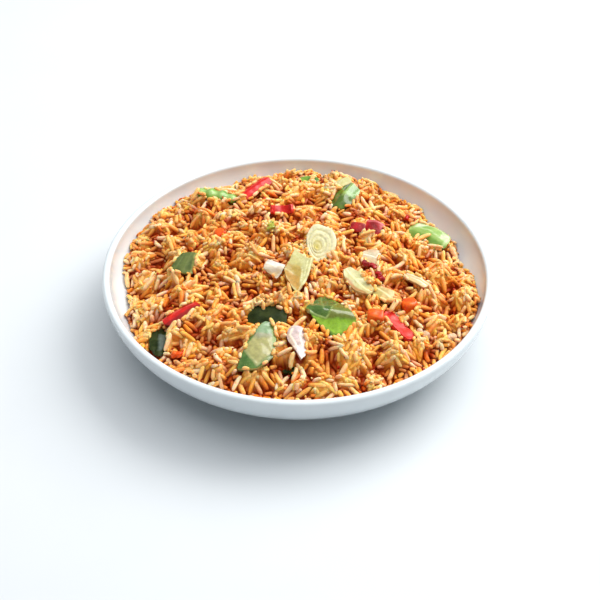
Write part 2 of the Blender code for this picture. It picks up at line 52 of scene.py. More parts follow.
# The bowl, with the measures of its CAD solid.
GAP = 0.3
RIM_RADIUS = 127
RIM_HEIGHT = 46
LIP_WIDTH = 5
LIP_DROP = 2.2
BASE_RADIUS = 64
BASE_HEIGHT = 1.5
UNDERSIDE_HEIGHT = 2.5
FLOOR_HEIGHT = 7
FLOOR_RADIUS = 61
FOOT_WIDTH = 5
FOOT_INSET = 1.5
WALL_POWER = 1.85
WALL_TOP = RIM_HEIGHT - LIP_DROP
WALL_DEPTH = WALL_TOP - FLOOR_HEIGHT
INNER_REACH = RIM_RADIUS - LIP_WIDTH - FLOOR_RADIUS
BOWL_STEPS = 160
WALL_STEPS = 30
LIP_STEPS = 10

# The mound of rice, with the measures of its CAD solid. A dip of its edge has an azimuth,
# a half width in degrees and a depth.
HEAP_TOP = RIM_HEIGHT + 9
HEAP_POWER = 2.5
EDGE_DEPTH = 10.5
EDGE_DIPS = ((20, 24, 8.0), (190, 17, 9.5), (120, 9, 3.0))
EDGE_LUMP = 2.2
EDGE_LUMP_SPACING = 16
LUMP_HEIGHT = 3.4
LUMP_SPACING = 17
SMALL_LUMP_HEIGHT = 1.4
SMALL_LUMP_SPACING = 7
LUMP_FADE = 14

# Clumps of sticky rice on the mound, with loose grains in the recesses between them.
SEED = 11
CLUMPS = 420
CLUMP_TRIES = 8000
CLUMPS_WITHIN = 112
CLUMP_REACH = (6.0, 13.5)
CLUMP_RISE = (5.6, 9.2)
CLUMP_CROWDING = 0.86
CLUMP_EDGE = 0.8
CLUMP_FADE = 6
CLUMP_RAGGED = 0.22
EDGE_CLUMP_SHARE = 0.35
RECESS_SINK = 7.0
FRONT_FROM = -50
FRONT_FADE = 30
FRONT_SHARE = 0.3
# The clumps that stand out: place, reach, rise, turn, narrowness and the grains' way.
LARGE_CLUMPS = [
    (-94, -35, 15, 8, 75, 0.75, 78), (-98, -5, 11, 7, 60, 0.8, 30),
    (-24, -48, 10.5, 13.5, 30, 0.8, 40), (-12, -47, 9.5, 13.5, 5, 0.8, -20),
    (-1, -44, 8, 10, -30, 0.8, -50), (6, -52, 6.5, 8, -50, 0.8, -40),
    (33, -84, 15, 8.5, 70, 0.75, 75), (-55, -59, 10, 8.5, 60, 0.8, 60),
    (-40, -68, 8, 8.5, 0, 0.9, 0), (-30, 2, 14, 7.5, 8, 0.5, 10),
    (1, 84, 13, 8, 10, 0.8, 60), (20, 82, 12, 7.5, -20, 0.8, 120),
    (-47, 48, 9, 7.5, 40, 0.8, 70), (61, -82, 11, 7, 20, 0.7, 10),
    (84, -27, 11, 7.5, -30, 0.7, -30), (-3, -103, 10, 7, 0, 0.7, 80),
]
# Hollows between the clumps: place, reach and depth.
HOLLOWS = [
    (-93, 8, 6, 3), (-42, -33, 9, 2.5), (-33, -40, 7, 3.5), (-88, -48, 7, 3),
    (-10.6, -33, 6, 4), (16, 64, 12, 3), (32, 58, 9, 3), (-60, -62, 6, 3),
    (-22, -101, 8, 3), (-5, -98, 8, 3), (60, -25, 6, 3), (68, -82, 6, 2.5),
    (-70, 44, 6, 2.5), (1, 43, 6, 2.5), (19, -90, 7, 2.5), (83, 3, 7, 2.5),
]
HOLLOW_FLATTENS = 0.7

# The grid of heights: its cells, and how deep under the grains its first bed lies.
CELL = 0.4
FIELD_HALF = 122.4
CELLS = round(2 * FIELD_HALF / CELL)
COARSE = 3
CORE_DEPTH = 3.6
CLUMP_DEPTH = 2.4
SLOPE_WIDTH = 1.6
OUTSIDE = 90.0

# Rice beside the vegetables: the room over and under them, the grains that tuck in at
# their edges, and the bank of rice that rises to them.
TOP_RISE = 2.2
UNDER_TOP = 0.4
UNDER_GAP = 1.0
ROOM_RISE = 1.4
ROOM_WIDTH = 3.0
TUCK_WIDTH = 2.4
TUCK_WITHIN = 0.85
TUCK_RISE = 2.2
BURY_RISE = 0.4
BANK_WIDTH = 5.0
BANK_SHARE = 2.4
BANK_DROP = 2.0

# The grains, and how they are laid. Some lie over the edges of the vegetables, and a few
# lie on vegetables at the places in COVERED, each with a reach and a count.
GRAIN_LENGTH = (8.8, 12.8)
GRAIN_RADIUS = (1.3, 1.68)
BROKEN_LENGTH = (4.2, 7.4)
SCRAP_LENGTH = (4.2, 6.2)
SCRAP_THIN = 0.85
BROKEN_SHARE = 0.22
STANDING_SHARE = 0.14
STANDING_OUT = (1.4, 3.0)
COMBED_SHARE = 0.55
END_RISE = 3.0
STEEPEST = 1.1
STATIONS = np.linspace(-1, 1, 11)
SLOPES = np.linspace(-0.9, 0.9, 19)
FILM_DEPTH = (0.9, 2.6)
EDGE_GRAINS = 30
COVERED = [(85, 36, 3, 14), (8, 99, 8, 12)]
MISSES = 300
YAWS = 5
MOST_GRAINS = 12000
FULL_WITHIN = 0.9
NO_ROOM = 0.8

# Tints in linear colour: of the grains, with how common each is, of the sticky rice between
# them, of the painted shade and sauce that deep grains keep, and of the painted top light.
TINTS = [
    ("rice_pale", (1.0, 0.66, 0.30), 0.28),
    ("rice_golden", (0.99, 0.56, 0.13), 0.37),
    ("rice_orange", (0.97, 0.42, 0.05), 0.25),
    ("rice_amber", (0.88, 0.28, 0.02), 0.11),
]
WHITE_TINT = (1.0, 0.78, 0.54)
END_TINT = (0.95, 0.72, 0.38)
FILM_TINT = (0.96, 0.46, 0.06)
# Painted shade, with sauce, deep under the heap's level, and painted light on the tops over it.
RECESS_SHADE_AND_SAUCE = (0.42, 0.09, 0.012)
RECESS_SHADE_RANGE = (-3.0, 0.8)
PAINTED_TOP_LIGHT = (1.0, 0.63, 0.29)
PAINTED_TOP_LIGHT_SHARE = 0.55
PAINTED_TOP_LIGHT_RANGE = (0.6, 3.6)
LEVEL_WIDTH = 12.0


# ------------------------------------------------------------------ shaders


class Paint:
    """A Principled material that is put together node by node."""

    def __init__(self, name, **sockets):
        self.material = bpy.data.materials.new(name)
        self.material.use_nodes = True
        self.tree = self.material.node_tree
        self.shader = self.tree.nodes["Principled BSDF"].inputs
        self.place = self.add("TexCoord", {}, "Object")
        for socket, value in sockets.items():
            self.shader[socket.replace("_", " ")].default_value = value

    def add(self, kind, inputs, output=0, **settings):
        """Add a node; each input is an output of another node or a plain value."""
        node = self.tree.nodes.new("ShaderNode" + kind)
        for key, value in settings.items():
            setattr(node, key, value)
        for key, value in inputs.items():
            if isinstance(value, bpy.types.NodeSocket):
                self.tree.links.new(value, node.inputs[key])
            elif isinstance(value, tuple) and len(node.inputs[key].default_value) == 4:
                node.inputs[key].default_value = (*value, 1)
            else:
                node.inputs[key].default_value = value
        return node.outputs[output]

    def noise(self, spacing, detail=3.0, stretch=(1, 1, 1), distortion=0.0):
        """Noise with blobs about a spacing apart, in millimetres, from 0 to 1."""
        place = self.add("Mapping", {"Vector": self.place, "Scale": stretch})
        return self.add("TexNoise", {"Vector": place, "Scale": 1 / (spacing * MM),
                                     "Detail": detail, "Roughness": 0.55,
                                     "Distortion": distortion}, "Fac")

    def range(self, value, low, high, to_low=0.0, to_high=1.0):
        """Map a value from one range to another, with its ends clamped."""
        return self.add("MapRange", {"Value": value, "From Min": low, "From Max": high,
                                     "To Min": to_low, "To Max": to_high}, "Result")

    def uneven(self, spacing, low, high, detail=3.0):
        """A value that wanders between two others."""
        return self.range(self.noise(spacing, detail), 0.3, 0.7, low, high)

    def attribute(self, name, output="Fac"):
        """A value or colour that the mesh carries."""
        return self.add("Attribute", {}, output, attribute_name=name)

    def ramp(self, factor, low, dark, high, bright):
        """One colour where the factor is low, running to another where it is high."""
        made = self.add("ValToRGB", {"Fac": factor}, "Color")
        elements = made.node.color_ramp.elements
        for element, position, colour in zip(elements, (low, high), (dark, bright)):
            element.position = position
            element.color = (*colour, 1)
        return made

    def mix(self, factor, one, other, blend="MIX"):
        """Mix two colours; each is an output or a plain colour."""
        return self.add("Mix", {0: factor, 6: one, 7: other}, 2, data_type="RGBA",
                        blend_type=blend)

    def zoned(self, tone):
        """A tone with the mesh's own zones of colour on it, mottled alike."""
        spots = self.add("VectorMath", {0: self.attribute("zone", "Color"),
                                        "Scale": self.uneven(2.2, 0.78, 1.18, 4)},
                         operation="SCALE")
        return self.mix(self.attribute("zoned"), tone, spots)

    def done(self, colour, rough, relief, depth, strength=0.5):
        """Take a colour, a roughness and a relief with its depth in millimetres."""
        normal = self.add("Bump", {"Height": relief, "Distance": depth * MM,
                                   "Strength": strength}, "Normal")
        for source, socket in ((colour, "Base Color"), (rough, "Roughness"),
                               (normal, "Normal")):
            self.tree.links.new(source, self.shader[socket])
        return self.material


def porcelain():
    """White glaze with a faint waviness, and bare clay under the foot ring."""
    paint = Paint("porcelain", Coat_Weight=0.3, Coat_Roughness=0.08, IOR=1.5)
    glaze = paint.ramp(paint.noise(26, 2), 0.3, (0.72, 0.785, 0.815), 0.7, (0.75, 0.81, 0.835))
    bare = paint.range(paint.add("SeparateXYZ", {0: paint.place}, "Z"), 0.0007, 0.0003)
    clay = paint.ramp(paint.noise(0.7), 0.3, (0.62, 0.58, 0.52), 0.7, (0.72, 0.69, 0.63))
    rough = paint.add("Mix", {0: bare, 2: paint.uneven(9, 0.12, 0.2, 4), 3: 0.8},
                      data_type="FLOAT")
    return paint.done(paint.mix(bare, glaze, clay), rough, paint.noise(14, 1), 0.12, 0.25)


def rice(name, dull=0.48):
    """Cooked grain: the mesh's own tint with its painted shade and light, mottled, a little see-through
    and oily.
    """
    paint = Paint(name, Subsurface_Weight=0.7, Subsurface_Scale=0.0021,
                  Subsurface_Radius=(1.0, 0.52, 0.26), Coat_Weight=0.12,
                  Coat_Roughness=0.3, IOR=1.4)
    stain = paint.range(paint.noise(2.6), 0.42, 0.72, 0.0, 0.55)
    tint = paint.mix(stain, paint.attribute("tint", "Color"), (0.86, 0.42, 0.13), "MULTIPLY")
    fleck = paint.range(paint.noise(0.8, 2), 0.66, 0.74, 0.0, 0.35)
    return paint.done(paint.mix(fleck, tint, (0.45, 0.10, 0.02)),
                      paint.uneven(1.6, dull - 0.12, dull + 0.12), paint.noise(0.55, 2), 0.06)


def crumb_skin(name, low, high, gloss=0.4):
    """A small bit with a mottled colour between two tones."""
    paint = Paint(name, Subsurface_Weight=0.15, Subsurface_Scale=0.001,
                  Subsurface_Radius=(1.0, 0.4, 0.2), IOR=1.45)
    return paint.done(paint.ramp(paint.noise(1.3), 0.35, low, 0.65, high),
                      paint.uneven(0.9, gloss - 0.1, gloss + 0.15), paint.noise(0.4), 0.05)


def pepper_skin(name, dark, bright, vein, gloss=0.32, coat=0.6, shine=0.5):
    """Glossy outer skin, paler along the rib lines and painted highlight lines that the mesh marks."""
    paint = Paint(name, Coat_Weight=coat, Coat_Roughness=0.1, IOR=1.45,
                  Specular_IOR_Level=shine, Subsurface_Weight=0.12,
                  Subsurface_Scale=0.002, Subsurface_Radius=(0.5, 1.0, 0.2))
    tone = paint.ramp(paint.noise(7, distortion=0.4), 0.35, dark, 0.65, bright)
    speck = paint.range(paint.noise(0.7, 2), 0.6, 0.7, 0.0, 0.35)
    tone = paint.zoned(paint.mix(speck, tone, vein))
    rib_and_highlight_mask = paint.add("Math", {0: paint.attribute("vein"), 1: 0.7}, operation="MULTIPLY")
    return paint.done(paint.mix(rib_and_highlight_mask, tone, vein),
                      paint.uneven(2.5, gloss - 0.06, gloss + 0.1), paint.noise(1.1), 0.12, 0.35)


def flesh(name, dark, bright, gloss=0.35, stripe=(1, 1, 1)):
    """Moist cut flesh with fine cells, paler along the rib lines and painted highlight lines that the mesh
    marks.
    """
    paint = Paint(name, Subsurface_Weight=0.3, Subsurface_Scale=0.0025,
                  Subsurface_Radius=(1.0, 0.8, 0.4), Coat_Weight=0.25,
                  Coat_Roughness=0.2, IOR=1.42)
    tone = paint.zoned(paint.ramp(paint.noise(4, 4, stripe), 0.32, dark, 0.68, bright))
    pale = tuple(min(1, value * 1.25 + 0.05) for value in bright)
    cells = paint.add("TexVoronoi", {"Vector": paint.place, "Scale": 1 / (0.7 * MM)}, "Distance")
    return paint.done(paint.mix(paint.attribute("vein"), tone, pale),
                      paint.uneven(1.8, gloss - 0.1, gloss + 0.1), cells, 0.08)


# ------------------------------------------------------------------ meshes


def mesh_of(name, bm):
    """Smooth mesh of a bmesh, which is used up."""
    mesh = bpy.data.meshes.new(name)
    bm.to_mesh(mesh)
    bm.free()
    mesh.shade_smooth()
    return mesh


def placed(name, data):
    """Object of a mesh, light or camera, in the scene."""
    made = bpy.data.objects.new(name, data)
    bpy.context.scene.collection.objects.link(made)
    return made


def piece(made, node):
    """Let an object ride on the part and stand for a CAD node."""
    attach(made, "root")
    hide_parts(node)
    return made


def rice_piece(name, parts, material):
    """Make one piece for the rice of many parts: points, triangles and tints."""
    points, triangles, tints = zip(*parts)
    starts = np.cumsum([0] + [len(each) for each in points[:-1]])
    corners = np.concatenate([each + start for each, start in zip(triangles, starts)])
    points = np.concatenate(points)
    mesh = bpy.data.meshes.new(name)
    mesh.vertices.add(len(points))
    mesh.vertices.foreach_set("co", (points * MM).astype(np.float32).ravel())
    mesh.loops.add(corners.size)
    mesh.loops.foreach_set("vertex_index", corners.astype(np.int32).ravel())
    mesh.polygons.add(len(corners))
    mesh.polygons.foreach_set("loop_start", np.arange(0, corners.size, 3, dtype=np.int32))
    mesh.update(calc_edges=True)
    mesh.shade_smooth()
    layer = mesh.color_attributes.new("tint", "FLOAT_COLOR", "POINT")
    layer.data.foreach_set("color", np.concatenate(tints).astype(np.float32).ravel())
    mesh.materials.append(material)
    return piece(placed(name, mesh), "rice")


def turned_mesh(name, outline, steps):
    """Mesh of an outline of radii and heights, turned about +Z."""
    bm = bmesh.new()
    verts = [bm.verts.new((radius * MM, 0, height * MM)) for radius, height in outline]
    edges = [bm.edges.new(pair) for pair in zip(verts, verts[1:])]
    bmesh.ops.spin(bm, geom=verts + edges, axis=(0, 0, 1), cent=(0, 0, 0),
                   steps=steps, angle=math.tau, use_merge=True)
    bmesh.ops.remove_doubles(bm, verts=bm.verts, dist=0.005 * MM)
    bmesh.ops.recalc_face_normals(bm, faces=bm.faces)
    return mesh_of(name, bm)


def wall_curve(step, reach, depth):
    """Radius and drop at a step of a wall's rounded quarter."""
    turn = step / WALL_STEPS * math.pi / 2
    return (reach * math.cos(turn) ** (2 / WALL_POWER),
            WALL_TOP - depth * math.sin(turn) ** (2 / WALL_POWER))


def bowl_outline():
    """Section of the bowl from the middle of its floor round to its underside."""
    outline = [(0, FLOOR_HEIGHT), (FLOOR_RADIUS / 2, FLOOR_HEIGHT)]
    for step in range(WALL_STEPS, -1, -1):
        radius, height = wall_curve(step, INNER_REACH, WALL_DEPTH)
        outline.append((FLOOR_RADIUS + radius, height))
    for step in range(1, LIP_STEPS):
        turn = math.pi * step / LIP_STEPS
        outline.append((RIM_RADIUS - LIP_WIDTH / 2 * (1 + math.cos(turn)),
                        WALL_TOP + LIP_DROP * math.sin(turn)))
    for step in range(WALL_STEPS + 1):
        radius, height = wall_curve(step, RIM_RADIUS - BASE_RADIUS, WALL_TOP - BASE_HEIGHT)
        outline.append((BASE_RADIUS + radius, height))
    outer = BASE_RADIUS - FOOT_INSET
    inner = outer - FOOT_WIDTH
    return outline + [
        (outer + 0.5, 0.7), (outer, 0.15), (outer - 0.5, 0), (inner + 0.5, 0), (inner, 0.2),
        (inner - FOOT_INSET, UNDERSIDE_HEIGHT - 0.4), (inner - FOOT_INSET - 1, UNDERSIDE_HEIGHT),
        (inner / 2, UNDERSIDE_HEIGHT), (0, UNDERSIDE_HEIGHT)]


def add_bowl():
    """Turn the bowl's section about +Z."""
    mesh = turned_mesh("glazed_bowl", bowl_outline(), BOWL_STEPS)
    mesh.materials.append(porcelain())
    piece(placed("glazed_bowl", mesh), "bowl")


# ------------------------------------------------------------------ the mound


def unevenness(x, y, spacing, layer):
    """Smooth unevenness between about -1 and 1 that changes over a spacing."""
    return 2 * noise.noise(Vector((x / spacing, y / spacing, layer)))


def wall_radius(height):
    """Radius of the bowl's inner side at a height."""
    share = min(1, max(0, (WALL_TOP - height) / WALL_DEPTH))
    return FLOOR_RADIUS + INNER_REACH * (1 - share ** WALL_POWER) ** (1 / WALL_POWER)


def wall_height(radius):
    """Height of the bowl's inner side at a radius."""
    if radius <= FLOOR_RADIUS:
        return FLOOR_HEIGHT
    share = (radius - FLOOR_RADIUS) / INNER_REACH
    if share >= 1:
        return OUTSIDE
    return WALL_TOP - WALL_DEPTH * (1 - share ** WALL_POWER) ** (1 / WALL_POWER)


def edge_height(azimuth):
    """Height at which the rice meets the bowl's wall."""
    dip = 0
    for middle, width, depth in EDGE_DIPS:
        away = (math.degrees(azimuth) - middle + 180) % 360 - 180
        dip += depth * math.exp(-((away / width) ** 2))
    x = RIM_RADIUS * math.cos(azimuth)
    y = RIM_RADIUS * math.sin(azimuth)
    return RIM_HEIGHT - EDGE_DEPTH - dip + EDGE_LUMP * unevenness(x, y, EDGE_LUMP_SPACING, 3)


def mound_height(x, y):
    """Height of the mound, and how far inside its edge a point is."""
    edge = edge_height(math.atan2(y, x))
    reach = wall_radius(edge - GAP) - GAP
    inside = reach - math.hypot(x, y)
    away = min(math.hypot(x, y), reach)
    smooth = edge + (HEAP_TOP - edge) * (1 - (away / reach) ** HEAP_POWER)
    lumps = (LUMP_HEIGHT * unevenness(x, y, LUMP_SPACING, 1)
             + SMALL_LUMP_HEIGHT * unevenness(x, y, SMALL_LUMP_SPACING, 2))
    return smooth + lumps * min(1, max(0, inside) / LUMP_FADE), inside


def on_mound(x, y, lift, roll, pitch, yaw, scale=(1, 1, 1)):
    """Matrix that lays a mesh on the mound, raised and turned, with angles in degrees."""
    place = Vector((x, y, mound_height(x, y)[0] + lift)) * MM
    turn = Euler((math.radians(roll), math.radians(-pitch), math.radians(yaw)))
    return Matrix.LocRotScale(place, turn, Vector(scale))


@dataclass
class Clump:
    """A lump of rice whose grains stick together and lie mostly one way."""

    x: float
    y: float
    reach: float
    rise: float
    turn: float
    narrow: float
    flow: float
    warmth: float


def scattered_clumps():
    """Clumps at random over the mound, clear of each other's middles."""
    chance = random.Random(SEED)
    clumps = [Clump(x, y, reach, rise, math.radians(turn), narrow, math.radians(flow), 0.6)
              for x, y, reach, rise, turn, narrow, flow in LARGE_CLUMPS]
    for _ in range(CLUMP_TRIES):
        away = CLUMPS_WITHIN * math.sqrt(chance.random())
        azimuth = chance.uniform(0, math.tau)
        reach = chance.uniform(*CLUMP_REACH)
        x, y = away * math.cos(azimuth), away * math.sin(azimuth)
        if any(math.hypot(x - near.x, y - near.y) < (reach + near.reach) * CLUMP_CROWDING
               for near in clumps):
            continue
        rise = chance.uniform(*CLUMP_RISE) * (0.6 + 0.4 * reach / CLUMP_REACH[1])
        clumps.append(Clump(x, y, reach, rise, chance.uniform(0, math.pi),
                            chance.uniform(0.65, 1.0), chance.uniform(0, math.pi),
                            chance.gauss(0, 0.5)))
        if len(clumps) == CLUMPS:
            break
    return clumps


# ------------------------------------------------------------------ sheets


@dataclass
class Sheet:
    """A bent sheet, as in the CAD: sizes in millimetres, angles in degrees.

    The outline's eight points go round its corners and the middles of its sides. Rib lines and
    painted highlight lines each have a half width and their points. A zone has a colour, a
    strength and its corners; some zones are painted shade and some are painted highlights.
    """

    name: str
    x: float
    y: float
    lift: float
    yaw: float
    pitch: float
    roll: float
    length: float
    width: float
    thickness: float
    slot: str
    bend: float = 0
    cup: float = 0
    corner: float = 0.5
    taper: float = 0
    fold: float = 0
    ripple: float = 0
    skins: tuple = ()
    outline: tuple = ()
    ribs_and_highlights: tuple = ()
    zones: tuple = ()


FACE_SIZE = 0.7
RIB_AND_HIGHLIGHT_RISE = 0.3
RIM_SHARE = 0.16
ZONE_EDGE = 1.2
ZONE_SHIFT = 0.7

# Materials of each sheet's top, underside and rim.
GREEN = ("pepper_green_skin", "pepper_green_flesh", "pepper_green_flesh")
DARK_RED = ("chilli_dark_skin", "pepper_red_flesh", "pepper_red_flesh")
CABBAGE = ("cabbage_flesh",) * 3
USUAL_SKINS = {
    "pepper_green": GREEN,
    "pepper_red": ("pepper_red_skin", "pepper_red_flesh", "pepper_red_flesh"),
    "leek": ("leek_flesh",) * 3,
    "onion": ("onion_flesh",) * 3,
    "leaf_dark": ("leaf_dark_skin",) * 3,
}
ALL_OVER = [(-99, -99), (99, -99), (99, 99), (-99, 99)]
# Zone corners for painted shade on the lower side of a sheet.
SHADED_LOWER_SIDE = [(-99, -99), (99, -99), (99, -1.2), (-99, -1.2)]


